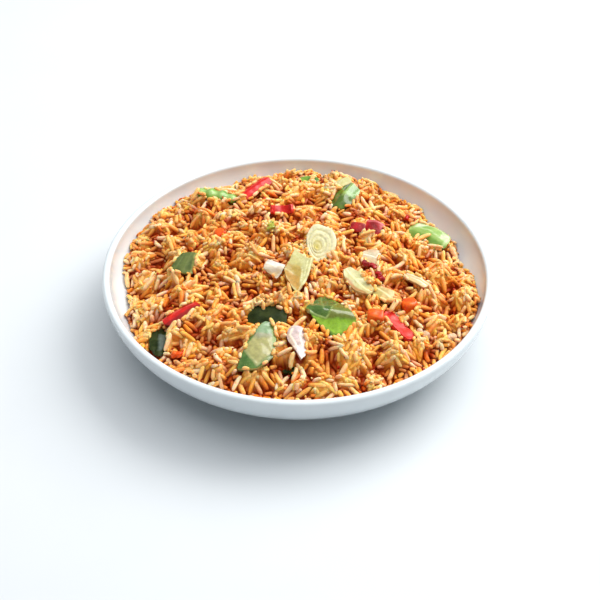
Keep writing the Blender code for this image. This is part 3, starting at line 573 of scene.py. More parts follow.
SHEETS = [
    Sheet("pepper_center", 20, -56.5, 3.4, 0, -8, 8, 32, 36, 3.2, "pepper_green",
          bend=30, cup=70, corner=0.05, fold=3.0,
          outline=((-15.5, 0), (-7, -8), (4, -18), (10.5, -11), (16, -3), (6, 8.5), (-5, 18.5),
          (-10.5, 8)),
          ribs_and_highlights=[(0.45, [(-14.5, -1), (-8, -4), (-3, -5)]), (0.4, [(-3, -5), (-0.5, -1), (1, 4),
          (5, 8.5)]), (0.3, [(-5.2, 15), (-5.6, 8), (-5, 0)])],
          zones=[((0.055, 0.115, 0.018), 0.85, [(-15.5, 1), (-12, -3), (-3, -5), (1, 3), (4, 9),
          (-5, 18.5), (-11.5, 9)]), ((0.15, 0.17, 0.02), 0.9, [(-3, -5), (6, -3.5), (15.5, -3),
          (7.5, 9.5), (4, 9), (1, 3)]), ((0.27, 0.5, 0.03), 0.9, [(-13, -3.5), (-3, -5), (15.5, -3.5),
          (10.5, -11.5), (2, -14), (-6, -9)]), ((0.05, 0.13, 0.008), 0.8, [(-8, -9), (-2, -10.5),
          (4, -14.5), (10.5, -11), (12, -12), (3, -18)])]),
    Sheet("pepper_front", -24, -83, 1.4, 0, 0, 10, 24, 34, 3.4, "pepper_pale",
          bend=40, cup=14, corner=0.2, skins=("pepper_mint_skin",) + GREEN[1:],
          outline=((-11.5, -17), (-1, -17), (9.5, -9), (11, 3), (10, 14), (7, 17.5), (2.5, 16.5),
          (-6, -0.5)),
          ribs_and_highlights=[(0.7, [(9.6, -7.7), (0, -15.2), (-7.5, -3.9)])],
          zones=[((0.26, 0.38, 0.21), 0.85, [(-1.5, 8), (8, 8), (8, 18), (3, 18)]), ((0.4, 0.37, 0.25),
          0.8, [(-2, 4), (8.5, 4), (8.5, 8.5), (-1, 8.5)]), ((0.2, 0.3, 0.02), 0.85, [(7.5, 18), (12, 18),
          (12, -3), (9, -1)]), ((0.4, 0.37, 0.14), 0.95, [(-2, 5), (8.6, 5), (9.6, -6), (0, -15.4),
          (-7.5, -3.9)])]),
    Sheet("pepper_right", 88.5, 40.5, 4.4, -40, 2, 16, 30, 18, 3.0, "pepper_green",
          bend=34, cup=84, corner=0.3, skins=("pepper_light_skin",) + GREEN[1:],
          outline=((-14, -6.5), (-3, -9), (13, -7.5), (15.5, 0), (13, 8), (0, 9.5), (-12.5, 8.5),
          (-15.5, 1)),
          # The first two pale lines are painted highlights along the upper right edge; the zones are
          # painted shade on the lower side and two painted highlights.
          ribs_and_highlights=[(1.1, [(-6, 7.5), (2, 8), (12, 6)]), (0.8, [(14, -4), (13, 5)]), (0.6, [(-12, 2), (0, 3),
          (10, 1)])],
          zones=[((0.12, 0.27, 0.03), 0.6, SHADED_LOWER_SIDE), ((0.66, 0.76, 0.52), 0.8, [(-13, 1), (-7, 4),
          (-5, 7.5), (-12, 7)]), ((0.6, 0.74, 0.42), 0.7, [(8, 2), (14, 0), (13, 7), (7, 7)])]),
    Sheet("pepper_back_right", 32, 69, 3.0, 58, 14, -6, 23, 16, 2.8, "pepper_green",
          bend=20, cup=60, corner=0.3, fold=1.6,
          outline=((-10.5, -5), (-1, -8), (10, -7), (11.5, 0), (9.5, 6.5), (0, 7), (-8, 8), (-11.5, 2)),
          ribs_and_highlights=[(0.6, [(-2, 0), (11, 0)])],
          zones=[((0.07, 0.11, 0.015), 0.7, [(-12, -9), (1, -9), (-1, 9), (-12, 9)]), ((0.34, 0.52, 0.22),
          0.6, [(0, -9), (12, -9), (12, 0), (1, 0)])]),
    Sheet("pepper_back", 7, 101, 1.2, 2, 0, 6, 15, 6, 2.4, "pepper_green", bend=30, cup=30),
    Sheet("pepper_left", -73.5, -2, 1.4, 0, 4, 10, 18, 19, 1.8, "pepper_green",
          bend=16, cup=14, corner=0.05, skins=("pepper_dull_skin",) + GREEN[1:],
          outline=((-9.5, -5), (-2.5, -8), (5, -9.5), (7, -0.5), (8.5, 8.5), (3.3, 9.2), (-2, 9.2),
          (-6.5, 2.5)),
          ribs_and_highlights=[(0.5, [(-6, -5), (-1, 8)]), (0.4, [(-1, -7), (3.5, 8)])],
          zones=[((0.42, 0.44, 0.1), 0.7, [(3.5, -9.5), (5.5, -10), (9, 9), (6.5, 9.5)])]),
    Sheet("leaf_dark_left", -85, -69.5, 1.4, 0, 0, 0, 12, 25, 1.8, "leaf_dark",
          bend=44, cup=36, corner=0.2, ripple=0.7,
          outline=((-5.5, 1.5), (-3.5, -7), (1.5, -12.5), (5.5, -4), (6, 6), (3.5, 10.5), (-0.5, 12.5),
          (-4.5, 8)),
          zones=[((0.16, 0.2, 0.17), 0.6, [(1, -8), (5, -4), (5, 7), (0, 6)])]),
    Sheet("leaf_dark_center", -18.5, -57, -0.4, 0, 0, 12, 25, 17, 1.8, "leaf_dark",
          bend=30, cup=40, corner=0.2, ripple=0.35,
          outline=((-13, -5), (-1, -8), (12.5, -5), (11, 3), (7, 8.5), (0, 10), (-7, 7.5), (-11, 1.5))),
    Sheet("red_strip_back", -30.5, 80.5, 4.6, 46, 8, -4, 25, 9.5, 2.6, "pepper_red",
          bend=12, cup=70, corner=0.3, fold=1.0,
          # The pink line is a painted highlight along the fold; the last zone is painted shade on the
          # lower side.
          ribs_and_highlights=[(0.35, [(-9, 1.2), (11, 1)])],
          zones=[((0.66, 0.008, 0.006), 0.7, ALL_OVER), ((0.26, 0.004, 0.004), 0.7, [(-99, -99),
          (99, -99), (99, -3), (-99, -3)])]),
    Sheet("red_curl", -11.5, 49, 1.6, 4, 0, 34, 18, 6.5, 2.2, "pepper_red", bend=-130, corner=0.3),
    Sheet("red_mid_left", 39.5, 29, 0.8, -8, 0, 22, 10, 7, 2.2, "pepper_red",
          bend=20, cup=20, skins=DARK_RED),
    Sheet("red_mid_right", 51.5, 30.5, 2.0, 0, 0, 20, 13, 15, 2.4, "pepper_red",
          bend=40, cup=44, corner=0.1, skins=DARK_RED,
          outline=((-7, -2.5), (-5, -6.5), (-1.5, -9), (4, -4), (6, 2), (1, 5), (-5, 6.5), (-6.5, 2)),
          # The pale line is a painted highlight along the top edge.
          ribs_and_highlights=[(0.9, [(-5, 5.5), (0.5, 4.5), (5.5, 2)])]),
    Sheet("red_strip_left", -72, -50, 2.2, 41, 4, -10, 26, 10, 2.6, "pepper_red",
          bend=16, cup=60, corner=0.5, taper=0.2,
          # The pink lines are painted highlights along the middle; the zone is painted shade on the lower
          # side.
          ribs_and_highlights=[(0.4, [(-6, 2), (2, 2.2)]), (0.4, [(5, 1.6), (10, 1)])],
          zones=[((0.16, 0.004, 0.004), 0.75, SHADED_LOWER_SIDE)]),
    Sheet("red_strip_right", 62, -59, 3.0, -54, -8, -8, 27, 8.5, 3.2, "pepper_red",
          bend=-12, cup=-24, corner=0.3, skins=("pepper_red_flesh", "pepper_red_skin", "pepper_red_skin")),
    Sheet("leek_leaf", -0.7, -21, 2.8, 0, 0, 12, 20, 34, 1.8, "leek", bend=-30, cup=24, corner=0,
          outline=((-8.5, 0), (-5.5, -9), (0.5, -16.7), (6.7, -5.7), (11, 9.4), (5, 11.2), (-1.5, 20),
          (-4.4, 8.6)),
          ribs_and_highlights=[(0.5, [(1.2, -16), (6.5, -5.7), (9.6, 8.5)]), (0.3, [(4.6, -6), (7, 7)]),
          (0.3, [(2.4, -9), (3.4, 0)])],
          zones=[((0.52, 0.29, 0.06), 0.95, [(-9, 1), (-3, -3), (2, -5), (2, -17), (-6, -9)]),
          ((0.42, 0.28, 0.05), 0.92, [(-6, 5), (1, 4), (4, -2), (2.4, -6), (-3, -3), (-8, 1)]),
          ((0.5, 0.44, 0.15), 0.7, [(-4, 14), (1, 9), (4, 2), (-1, 3), (-6, 5)])]),
    Sheet("leek_back", 31, 93, 2.4, 28, 10, 0, 13, 8, 1.8, "leek", bend=24, cup=30),
    Sheet("onion_white", -15.0, -19.5, 3.8, 0, 0, 20, 14.5, 14.5, 2.0, "onion",
          bend=24, cup=20, corner=0.05, fold=1.2,
          outline=((-6.6, -0.5), (-3, -3.6), (1.5, -7.4), (4.6, -2.6), (7, 2.6), (1.8, 4.2), (-3.8, 7),
          (-5.8, 3.2)),
          ribs_and_highlights=[(0.8, [(-5, 3.5), (0, 1), (5, 1.5)])],
          zones=[((0.78, 0.7, 0.68), 0.8, [(-6, 4), (-3, 6), (6, 3), (1, 0)]), ((0.6, 0.42, 0.18),
          0.8, [(-6, -0.5), (-1, -3), (4, -2), (0.5, -6), (-3, -4)])]),
    Sheet("onion_back", 47.5, -1, 2.0, 0, 0, 6, 14, 15, 1.8, "onion", bend=16, cup=20, corner=0.1,
          outline=((-7, 0.5), (-3, -5), (1.5, -8.5), (4.5, -1.5), (7, 6), (2, 6.8), (-3, 6.5), (-6, 4)),
          ribs_and_highlights=[(0.5, [(-5, 2), (3, -1), (6.5, 5.5)])],
          zones=[((0.6, 0.5, 0.32), 0.8, ALL_OVER), ((0.66, 0.38, 0.2), 0.75, [(-4, 4), (3, 3.5), (4, 7),
          (-4, 7)]), ((0.62, 0.36, 0.1), 0.8, [(-5, -1), (3, -3), (3, -9), (-4, -7)])]),
    Sheet("onion_right", 75, -23, 2.0, -42, 0, -10, 18, 8, 1.8, "onion", bend=26, cup=40,
          ribs_and_highlights=[(0.5, [(-8, 1), (8, 2)]), (0.4, [(-8, -1.5), (8, -1)])],
          zones=[((0.66, 0.46, 0.19), 0.85, ALL_OVER)]),
    Sheet("onion_front", -0.7, -79.5, 2.2, 0, 0, 6, 12, 26, 2.0, "onion", bend=56, cup=24, corner=0.1,
          outline=((-4.5, -3), (-0.5, -9), (3, -15), (5.7, -9), (5, 3), (3.5, 8.5), (-2.5, 10.5),
          (-5.2, 4)),
          ribs_and_highlights=[(0.6, [(-2, 9), (-3.5, 2), (0, -6)]), (0.5, [(3, 8), (2, 1), (3.5, -6)])],
          zones=[((0.6, 0.47, 0.45), 0.9, ALL_OVER), ((0.7, 0.62, 0.66), 0.8, [(-1, 10), (3.5, 9), (5, 3),
          (2, 2)]), ((0.58, 0.36, 0.15), 0.8, [(-6, 4), (-3.8, 4), (-1.5, -4), (0, -9), (-3, -6)]),
          ((0.97, 0.93, 0.88), 0.95, [(-1, -6), (6, -5), (6, -11), (3, -16)])]),
    Sheet("cabbage_center", 37.5, -31, 2.6, 0, -4, 6, 18, 24, 1.8, "leek",
          bend=-14, cup=-24, corner=0.2, skins=CABBAGE,
          outline=((-9, 5), (-3.5, -5), (6, -11), (9.5, -7), (9, -2), (2, 8), (-5, 13), (-9, 10)),
          ribs_and_highlights=[(0.8, [(-8, 11), (-2, 3), (5, -6), (8.5, -8)]), (0.5, [(-2, 3), (3, 3)])],
          # The first zone is a painted shadow along the lower left edge.
          zones=[((0.4, 0.15, 0.03), 0.85, [(-9.5, 5), (-6, 3), (-1, -4), (5, -8), (7, -12), (-4, -6)]),
          ((0.52, 0.5, 0.24), 0.6, [(-4, 12), (3, 7), (9, -2), (6, -4), (-1, 3)]), ((0.56, 0.4, 0.14),
          0.6, [(3, -5), (9.5, -1), (9.5, -8), (6, -10)])]),
    Sheet("cabbage_right", 53.5, -35, 1.8, 0, 0, 8, 15, 16, 1.8, "leek",
          bend=26, cup=30, corner=0.2, skins=CABBAGE,
          outline=((-7.5, 0), (-2.5, -4.5), (3, -8.5), (6, -4), (7.5, 1), (2, 4), (-4, 7.5), (-6.5, 4)),
          ribs_and_highlights=[(0.6, [(-5, 5), (4, -4)])],
          zones=[((0.6, 0.42, 0.16), 0.85, ALL_OVER), ((0.36, 0.29, 0.03), 0.85, [(-8, 0), (-2, -6),
          (0, 3), (-5, 8)])]),
]


def vegetable_skins():
    """All materials of the vegetables, by name."""
    made = [
        pepper_skin("pepper_green_skin", (0.045, 0.13, 0.012), (0.20, 0.36, 0.035),
                    (0.42, 0.52, 0.17), gloss=0.28, coat=0.85),
        # The pale line colour of this skin is a painted highlight.
        pepper_skin("pepper_light_skin", (0.22, 0.40, 0.07), (0.36, 0.52, 0.14),
                    (0.62, 0.74, 0.40)),
        pepper_skin("pepper_mint_skin", (0.045, 0.12, 0.022), (0.11, 0.21, 0.045),
                    (0.44, 0.46, 0.20)),
        pepper_skin("pepper_dull_skin", (0.05, 0.085, 0.018), (0.13, 0.165, 0.038),
                    (0.15, 0.18, 0.045), gloss=0.45),
        pepper_skin("floret_skin", (0.16, 0.22, 0.015), (0.46, 0.46, 0.06), (0.6, 0.6, 0.2)),
        pepper_skin("pod_skin", (0.10, 0.28, 0.02), (0.24, 0.46, 0.06), (0.5, 0.7, 0.3)),
        # The pale line colours of the red skins are painted highlights.
        pepper_skin("pepper_red_skin", (0.42, 0.005, 0.004), (0.66, 0.012, 0.008),
                    (0.80, 0.16, 0.12), gloss=0.4, coat=0.3),
        pepper_skin("chilli_dark_skin", (0.20, 0.003, 0.004), (0.46, 0.006, 0.009),
                    (0.8, 0.2, 0.2), gloss=0.38, coat=0.35),
        pepper_skin("leaf_dark_skin", (0.008, 0.016, 0.003), (0.030, 0.042, 0.009),
                    (0.09, 0.11, 0.035), gloss=0.62, coat=0.05, shine=0.2),
        flesh("pepper_green_flesh", (0.36, 0.42, 0.12), (0.52, 0.56, 0.22)),
        flesh("pepper_red_flesh", (0.60, 0.018, 0.012), (0.82, 0.055, 0.035)),
        flesh("leek_flesh", (0.52, 0.49, 0.20), (0.64, 0.61, 0.32), stripe=(3, 3, 1)),
        flesh("cabbage_flesh", (0.50, 0.46, 0.19), (0.62, 0.57, 0.29), stripe=(3, 1, 1)),
        flesh("onion_flesh", (0.60, 0.49, 0.34), (0.72, 0.64, 0.50), gloss=0.25,
              stripe=(1, 3, 1)),
        flesh("onion_pink_flesh", (0.62, 0.36, 0.20), (0.74, 0.54, 0.36)),
        flesh("carrot_flesh", (0.70, 0.065, 0.006), (0.88, 0.16, 0.012)),
    ]
    return {material.name: material for material in made}


def arc(share, size, angle):
    """How far along and how far down a share of an arc is, from -1 to 1."""
    turn = math.radians(angle)
    if abs(turn) < 0.01:
        return share * size / 2, 0
    radius = size / turn
    return radius * math.sin(share * turn / 2), radius * (1 - math.cos(share * turn / 2))


def outline_point(outline, u, v):
    """Place in the plane of a point of a four-sided outline with bowed sides."""
    shares = ((1 - u) * (1 - v) * (-u - v - 1) / 4, (1 - u * u) * (1 - v) / 2,
              (1 + u) * (1 - v) * (u - v - 1) / 4, (1 + u) * (1 - v * v) / 2,
              (1 + u) * (1 + v) * (u + v - 1) / 4, (1 - u * u) * (1 + v) / 2,
              (1 - u) * (1 + v) * (v - u - 1) / 4, (1 - u) * (1 - v * v) / 2)
    return [sum(share * point[side] for share, point in zip(shares, outline))
            for side in (0, 1)]


def flat_point(sheet, u, v):
    """Place of a sheet's point before it is bent, where u and v run from -1 to 1."""
    edge = max(abs(u), abs(v)) ** 4
    ragged = 1 + 0.07 * edge * noise.noise(Vector((u * 2.2, v * 2.2, sheet.x)))
    along = u * math.sqrt(1 - sheet.corner * v * v / 2)
    across = v * math.sqrt(1 - sheet.corner * u * u / 2) * (1 - sheet.taper * u)
    if sheet.outline:
        x, y = outline_point(sheet.outline, along, across)
        return x * ragged, y * ragged
    return along * ragged * sheet.length / 2, across * ragged * sheet.width / 2


def bent_point(sheet, flat):
    """Place of a sheet's point after it is bent."""
    along = 2 * flat[0] / sheet.length
    across = 2 * flat[1] / sheet.width
    x, x_drop = arc(along, sheet.length, sheet.bend)
    y, y_drop = arc(across, sheet.width, sheet.cup)
    crease = sheet.fold * math.exp(-((3.2 * across) ** 2))
    ripple = sheet.ripple * abs(across) * math.sin(3 * math.pi * along)
    wobble = 0.5 * noise.noise(Vector((x / 5, y / 5, sheet.y)))
    return Vector((x, y, crease + ripple + wobble - x_drop - y_drop))


def off_line(here, a, b):
    """Distance of a point from the stretch between two others."""
    share = min(1, max(0, (here - a).dot(b - a) / (b - a).length_squared))
    return (here - a.lerp(b, share)).length


def rib_and_highlight_strength(sheet, flat):
    """How much a sheet's point is on one of its rib and painted highlight lines, from 0 to 1."""
    best = 0
    for width, points in sheet.ribs_and_highlights:
        for start, end in zip(points, points[1:]):
            away = off_line(Vector(flat), Vector(start), Vector(end))
            best = max(best, 1 - min(1, away / width))
    return best


def inside_zone(here, corners):
    """How much a point lies inside a zone's corners: 1 inside, 0 outside."""
    inside = False
    away = 99
    for start, end in zip(corners, corners[1:] + corners[:1]):
        a, b = Vector(start), Vector(end)
        if (a.y > here.y) != (b.y > here.y):
            if here.x < a.x + (b.x - a.x) * (here.y - a.y) / (b.y - a.y):
                inside = not inside
        away = min(away, off_line(here, a, b))
    return min(1, max(0, 0.5 + (away if inside else -away) / ZONE_EDGE))


def zone_colour(sheet, flat):
    """Colour that a sheet's zones give a point, and how strongly."""
    colour = Vector((0, 0, 0))
    strength = 0
    shift = noise.noise_vector(Vector((flat[0] / 2.5, flat[1] / 2.5, sheet.x)))
    here = Vector((flat[0] + ZONE_SHIFT * shift.x, flat[1] + ZONE_SHIFT * shift.y))
    for tone, share, corners in sheet.zones:
        inside = share * inside_zone(here, corners)
        colour = colour.lerp(Vector(tone), inside / max(inside + strength, 0.001))
        strength = max(strength, inside)
    return colour, strength


def add_sheet(sheet, skins):
    """Make a bent sheet with a rounded rim, and with its own skin on each side."""
    bm = bmesh.new()
    vein = bm.verts.layers.float.new("vein")
    zone = bm.verts.layers.float_color.new("zone")
    zoned = bm.verts.layers.float.new("zoned")
    bmesh.ops.create_grid(bm, x_segments=max(12, round(sheet.length / FACE_SIZE)),
                          y_segments=max(8, round(sheet.width / FACE_SIZE)), size=1)
    for vert in bm.verts:
        flat = flat_point(sheet, vert.co.x, vert.co.y)
        vert[vein] = strength = rib_and_highlight_strength(sheet, flat)
        colour, vert[zoned] = zone_colour(sheet, flat)
        vert[zone] = (*colour, 1)
        vert.co = (bent_point(sheet, flat) + Vector((0, 0, RIB_AND_HIGHLIGHT_RISE * strength))) * MM
    made = placed(sheet.name + "_cooked", mesh_of(sheet.name + "_cooked", bm))
    for skin in sheet.skins or USUAL_SKINS[sheet.slot]:
        made.data.materials.append(skins[skin])
    solidify = made.modifiers.new("thickness", "SOLIDIFY")
    solidify.thickness = sheet.thickness * MM
    solidify.offset = 0
    solidify.material_offset = 1
    solidify.material_offset_rim = 2
    bevel = made.modifiers.new("soft_rim", "BEVEL")
    bevel.limit_method = "ANGLE"
    bevel.angle_limit = math.radians(50)
    bevel.width = RIM_SHARE * sheet.thickness * MM
    bevel.segments = 2
    graph = bpy.context.evaluated_depsgraph_get()
    fused = bpy.data.meshes.new_from_object(made.evaluated_get(graph))
    made.modifiers.clear()
    made.data = fused
    fused.transform(on_mound(sheet.x, sheet.y, sheet.lift, sheet.roll, sheet.pitch, sheet.yaw))
    fused.shade_smooth()
    return piece(made, sheet.name)


# ------------------------------------------------------------------ dices, pod and leek


@dataclass
class Dice:
    """A diced piece, as in the CAD: sizes in millimetres, angles in degrees."""

    name: str
    skin: str
    x: float
    y: float
    lift: float
    yaw: float
    pitch: float
    roll: float
    size: tuple
    bits: int = 1


DICE = [
    Dice("carrot_left", "carrot_flesh", -52, 25, 3.2, 24, 8, -6, (8, 8, 7)),
    Dice("carrot_center", "carrot_flesh", 47.6, -58.0, 1.6, -8, 0, 6, (10.5, 8, 6.5)),
    Dice("carrot_right", "carrot_flesh", 69.4, -43.4, 3.6, 24, 4, -4, (9.5, 8.5, 7.5)),
]
# Small bits that the CAD fuses to the rice, by the finish that they take.
CHIPS = [
    ("pepper_red", "red_chips", [
        Dice("red_back", "pepper_red_skin", -24.5, 66, 0.6, 70, 0, 0, (6, 4, 4), 2),
        Dice("red_right", "pepper_red_skin", 76.8, 59.0, 0.6, 60, 0, 0, (6, 4.5, 4), 2),
        Dice("chilli_a", "chilli_dark_skin", 45.5, -11.5, 1.2, -10, 0, 0, (8.5, 5, 4), 5),
        Dice("chilli_b", "chilli_dark_skin", 52.5, -20, 1.0, -50, 0, 0, (6, 4.5, 4), 4),
    ]),
    ("pepper_green", "green_chips", [
        Dice("floret", "floret_skin", -18, 25, 1.4, 80, 0, 0, (8, 6, 5), 9),
    ]),
    ("leaf_dark", "leaf_chips", [
        Dice("leaf", "leaf_dark_skin", -4.5, -95, 0.5, 0, 0, 0, (7, 4.5, 4), 3),
    ]),
    ("carrot", "carrot_chips", [
        Dice("carrot", "carrot_flesh", -72.4, -82.5, 0.6, 20, 0, 0, (6, 5, 4.5), 2),
    ]),
    ("onion", "onion_chips", [
        Dice("onion_a", "onion_pink_flesh", 93.4, -61.2, 0.6, 8, 0, 0, (8, 5, 4.5), 2),
        Dice("onion_b", "onion_pink_flesh", 77, -60.5, 0.4, -20, 0, 0, (6.5, 5, 4.5), 2),
    ]),
]
DICE_POWER = 4.5
DICE_UNEVEN = 0.8


def bits_of(dice):
    """The broken bits of a small piece, or the piece itself where it is whole."""
    if dice.bits == 1:
        return [dice]
    chance = random.Random(dice.name)
    cos, sin = math.cos(math.radians(dice.yaw)), math.sin(math.radians(dice.yaw))
    made = []
    for index in range(dice.bits):
        along = ((index + 0.5) / dice.bits - 0.5) * dice.size[0]
        across = chance.uniform(-0.25, 0.25) * dice.size[1]
        share = chance.uniform(0.9, 1.5) / math.sqrt(dice.bits)
        size = tuple(value * share * chance.uniform(0.7, 1.1) for value in dice.size)
        made.append(replace(dice, x=dice.x + along * cos - across * sin,
                            y=dice.y + along * sin + across * cos,
                            lift=dice.lift + chance.uniform(-0.5, 0.8),
                            yaw=chance.uniform(0, 180), roll=chance.uniform(-30, 30),
                            pitch=chance.uniform(-30, 30), size=size))
    return made


def dice_mesh(dice):
    """Mesh of a softened, slightly uneven dice in its place."""
    bm = bmesh.new()
    bmesh.ops.create_cube(bm, size=1)
    bmesh.ops.subdivide_edges(bm, edges=bm.edges, cuts=5, use_grid_fill=True)
    for vert in bm.verts:
        corner = sum(abs(2 * value) ** DICE_POWER for value in vert.co) ** (1 / DICE_POWER)
        reach = max(abs(2 * value) for value in vert.co)
        point = vert.co * (reach / corner)
        point = Vector(value * size for value, size in zip(point, dice.size))
        shift = noise.noise_vector(point / 3 + Vector((dice.x, dice.y, 0)))
        vert.co = (point + shift * DICE_UNEVEN) * MM
    bm.transform(on_mound(dice.x, dice.y, dice.lift, dice.roll, dice.pitch, dice.yaw))
    return mesh_of("dice", bm)


def add_dice(name, dices, skins, node):
    """Make one piece of several dice."""
    bm = bmesh.new()
    names = []
    for dice in (bit for dice in dices for bit in bits_of(dice)):
        if dice.skin not in names:
            names.append(dice.skin)
        known = len(bm.faces)
        part = dice_mesh(dice)
        bm.from_mesh(part)
        bpy.data.meshes.remove(part)
        bm.faces.ensure_lookup_table()
        for face in bm.faces[known:]:
            face.material_index = names.index(dice.skin)
    mesh = mesh_of(name, bm)
    for skin in names:
        mesh.materials.append(skins[skin])
    return piece(placed(name, mesh), node)


POD_PLACE = (-57.5, 72.5, 4.8)
POD_YAW = -13
POD_RISE = -3
POD_LENGTH = 33
POD_RADIUS = 4.9
POD_SEEDS = 4
POD_SWELL = 0.16
POD_SQUASH = 0.82
POD_RINGS = 64
# Painted highlight on the pod where it faces up and to the front, and painted shade where it faces down.
POD_PAINTED_HIGHLIGHT = (0.50, 0.68, 0.28, 1)
POD_PAINTED_SHADE = (0.03, 0.10, 0.008, 1)

LEEK_PLACE = (14.5, 10, 3.4)
LEEK_TILT = 30
LEEK_YAW = 8
LEEK_RADIUS = 9.5
LEEK_STRETCH = 1.4
LEEK_THICKNESS = 4.6
LEEK_LAYERS = 4
LEEK_GROOVE = 0.38
LEEK_OFF = (3.2, 2.5)
LEEK_CORE = Vector((0.56, 0.46, 0.08))
LEEK_VALLEY = Vector((0.67, 0.63, 0.33))
LEEK_RIDGE = Vector((0.77, 0.73, 0.47))


def zone_layers(mesh):
    """A mesh's layers for its zones of colour and for how strongly they are seen."""
    mesh.color_attributes.new("zone", "FLOAT_COLOR", "POINT")
    mesh.attributes.new("zoned", "FLOAT", "POINT")
    return mesh.attributes["zone"].data, mesh.attributes["zoned"].data


def add_pod(skins):
    """Make the bean pod, swollen over each seed, with its seam along the side, painted highlights where it
    faces up and painted shade under it.
    """
    outline = []
    for ring in range(POD_RINGS + 1):
        share = 1 - 2 * ring / POD_RINGS
        swell = 1 - POD_SWELL * math.cos(math.pi * POD_SEEDS * (share + 1))
        outline.append((POD_RADIUS * math.sqrt(max(0, 1 - share ** 2)) * swell,
                        share * POD_LENGTH / 2))
    mesh = turned_mesh("green_pod_cooked", outline, 32)
    for vert in mesh.vertices:
        turn = math.atan2(vert.co.y, vert.co.x)
        seam = max(0, 1 - abs(abs(turn) - math.pi / 2) * 5)
        vert.co.x *= 1 - 0.12 * seam
        vert.co.y *= 1 + 0.05 * seam
    mesh.transform(on_mound(*POD_PLACE, 0, POD_RISE - 90, POD_YAW, (POD_SQUASH, 1, 1)))
    mesh.shade_smooth()
    zone, zoned = zone_layers(mesh)
    # Painted highlight where the skin faces up and to the front, painted shade where it faces down.
    for vert in mesh.vertices:
        up = vert.normal.z - 0.35 * vert.normal.y
        pale = up > 0.5
        zone[vert.index].color = POD_PAINTED_HIGHLIGHT if pale else POD_PAINTED_SHADE
        zoned[vert.index].value = min(0.85, max(0, (up - 0.8) * 2.2 if pale else 0.35 - up))
    mesh.materials.append(skins["pod_skin"])
    return piece(placed("green_pod_cooked", mesh), "green_pod")


def leek_outline():
    """Section of the slice: a rounded ridge for each of its layers, then its plain face."""
    half = LEEK_THICKNESS / 2
    layer = LEEK_RADIUS / LEEK_LAYERS
    outline = [(0, half - 0.3)]
    steps = 24 * LEEK_LAYERS
    for step in range(1, steps + 1):
        radius = LEEK_RADIUS * step / steps
        groove = (0.5 + 0.5 * math.cos(math.tau * (radius / layer % 1))) ** 2
        outline.append((radius, half - 0.6 * LEEK_GROOVE * groove))
    return outline + [(LEEK_RADIUS, half - LEEK_GROOVE - 0.4), (LEEK_RADIUS - 0.1 * layer, 0),
                      (LEEK_RADIUS - 0.2 * layer, -half + 0.3),
                      (LEEK_RADIUS - 0.3 * layer, -half), (0, -half)]


def leek_colour(share):
    """Colour of the slice at a share of its radius."""
    ridge = 0.5 - 0.5 * math.cos(math.tau * (share * LEEK_LAYERS % 1))
    colour = LEEK_VALLEY.lerp(LEEK_RIDGE, ridge).lerp(LEEK_CORE, max(0, 1 - share * 2.2))
    return colour.lerp(LEEK_RIDGE, min(1, max(0, share - 0.7) * 5))


def add_leek_slice(skins):
    """Make the slice of leek, tilted towards the front."""
    mesh = turned_mesh("leek_slice_cooked", leek_outline(), 72)
    zone, zoned = zone_layers(mesh)
    for vert in mesh.vertices:
        shift = noise.noise_vector(vert.co / (5 * MM))
        share = math.hypot(vert.co.x, vert.co.y) / (LEEK_RADIUS * MM)
        zoned[vert.index].value = 0.9
        zone[vert.index].color = (*leek_colour(share + 0.08 * shift.y), 1)
        turn = math.atan2(vert.co.y, vert.co.x)
        uneven = 1 + share ** 2 * (0.06 * math.cos(2 * turn - 1) + 0.05 * math.cos(3 * turn))
        vert.co.x = vert.co.x * uneven - LEEK_OFF[0] * (1 - share) * MM
        vert.co.y = vert.co.y * uneven - LEEK_OFF[1] * (1 - share) * MM
        vert.co += Vector((shift.x, shift.y, shift.z * 0.8)) * 0.6 * MM
    mesh.transform(on_mound(*LEEK_PLACE, LEEK_TILT, 0, LEEK_YAW, (1, LEEK_STRETCH, 1)))
    mesh.shade_smooth()
    mesh.materials.append(skins["leek_flesh"])
    return piece(placed("leek_slice_cooked", mesh), "leek_slice")


# ------------------------------------------------------------------ the heap


def softened(values, width):
    """Values of a grid, averaged over a width in millimetres, three times over."""
    half = max(1, round(width / CELL / 2))
    for _ in range(3):
        for axis in (0, 1):
            padded = np.pad(values, [(half + 1, half) if axis == side else (0, 0)
                                     for side in (0, 1)], mode="edge")
            total = np.cumsum(padded, axis=axis)
            size = 2 * half + 1
            upper = np.take(total, range(size, total.shape[axis]), axis=axis)
            lower = np.take(total, range(0, total.shape[axis] - size), axis=axis)
            values = (upper - lower) / size
    return values


AXIS = (np.arange(CELLS) + 0.5) * CELL - FIELD_HALF


def sampled(value):
    """A value of x and y at all cells, found on a coarser grid and smoothly carried over."""
    coarse = (np.arange(CELLS // COARSE) + 0.5) * CELL * COARSE - FIELD_HALF
    found = np.array([[value(x, y) for x in coarse] for y in coarse])
    rows = np.array([np.interp(AXIS, coarse, row) for row in found])
    return np.array([np.interp(AXIS, coarse, column) for column in rows.T]).T


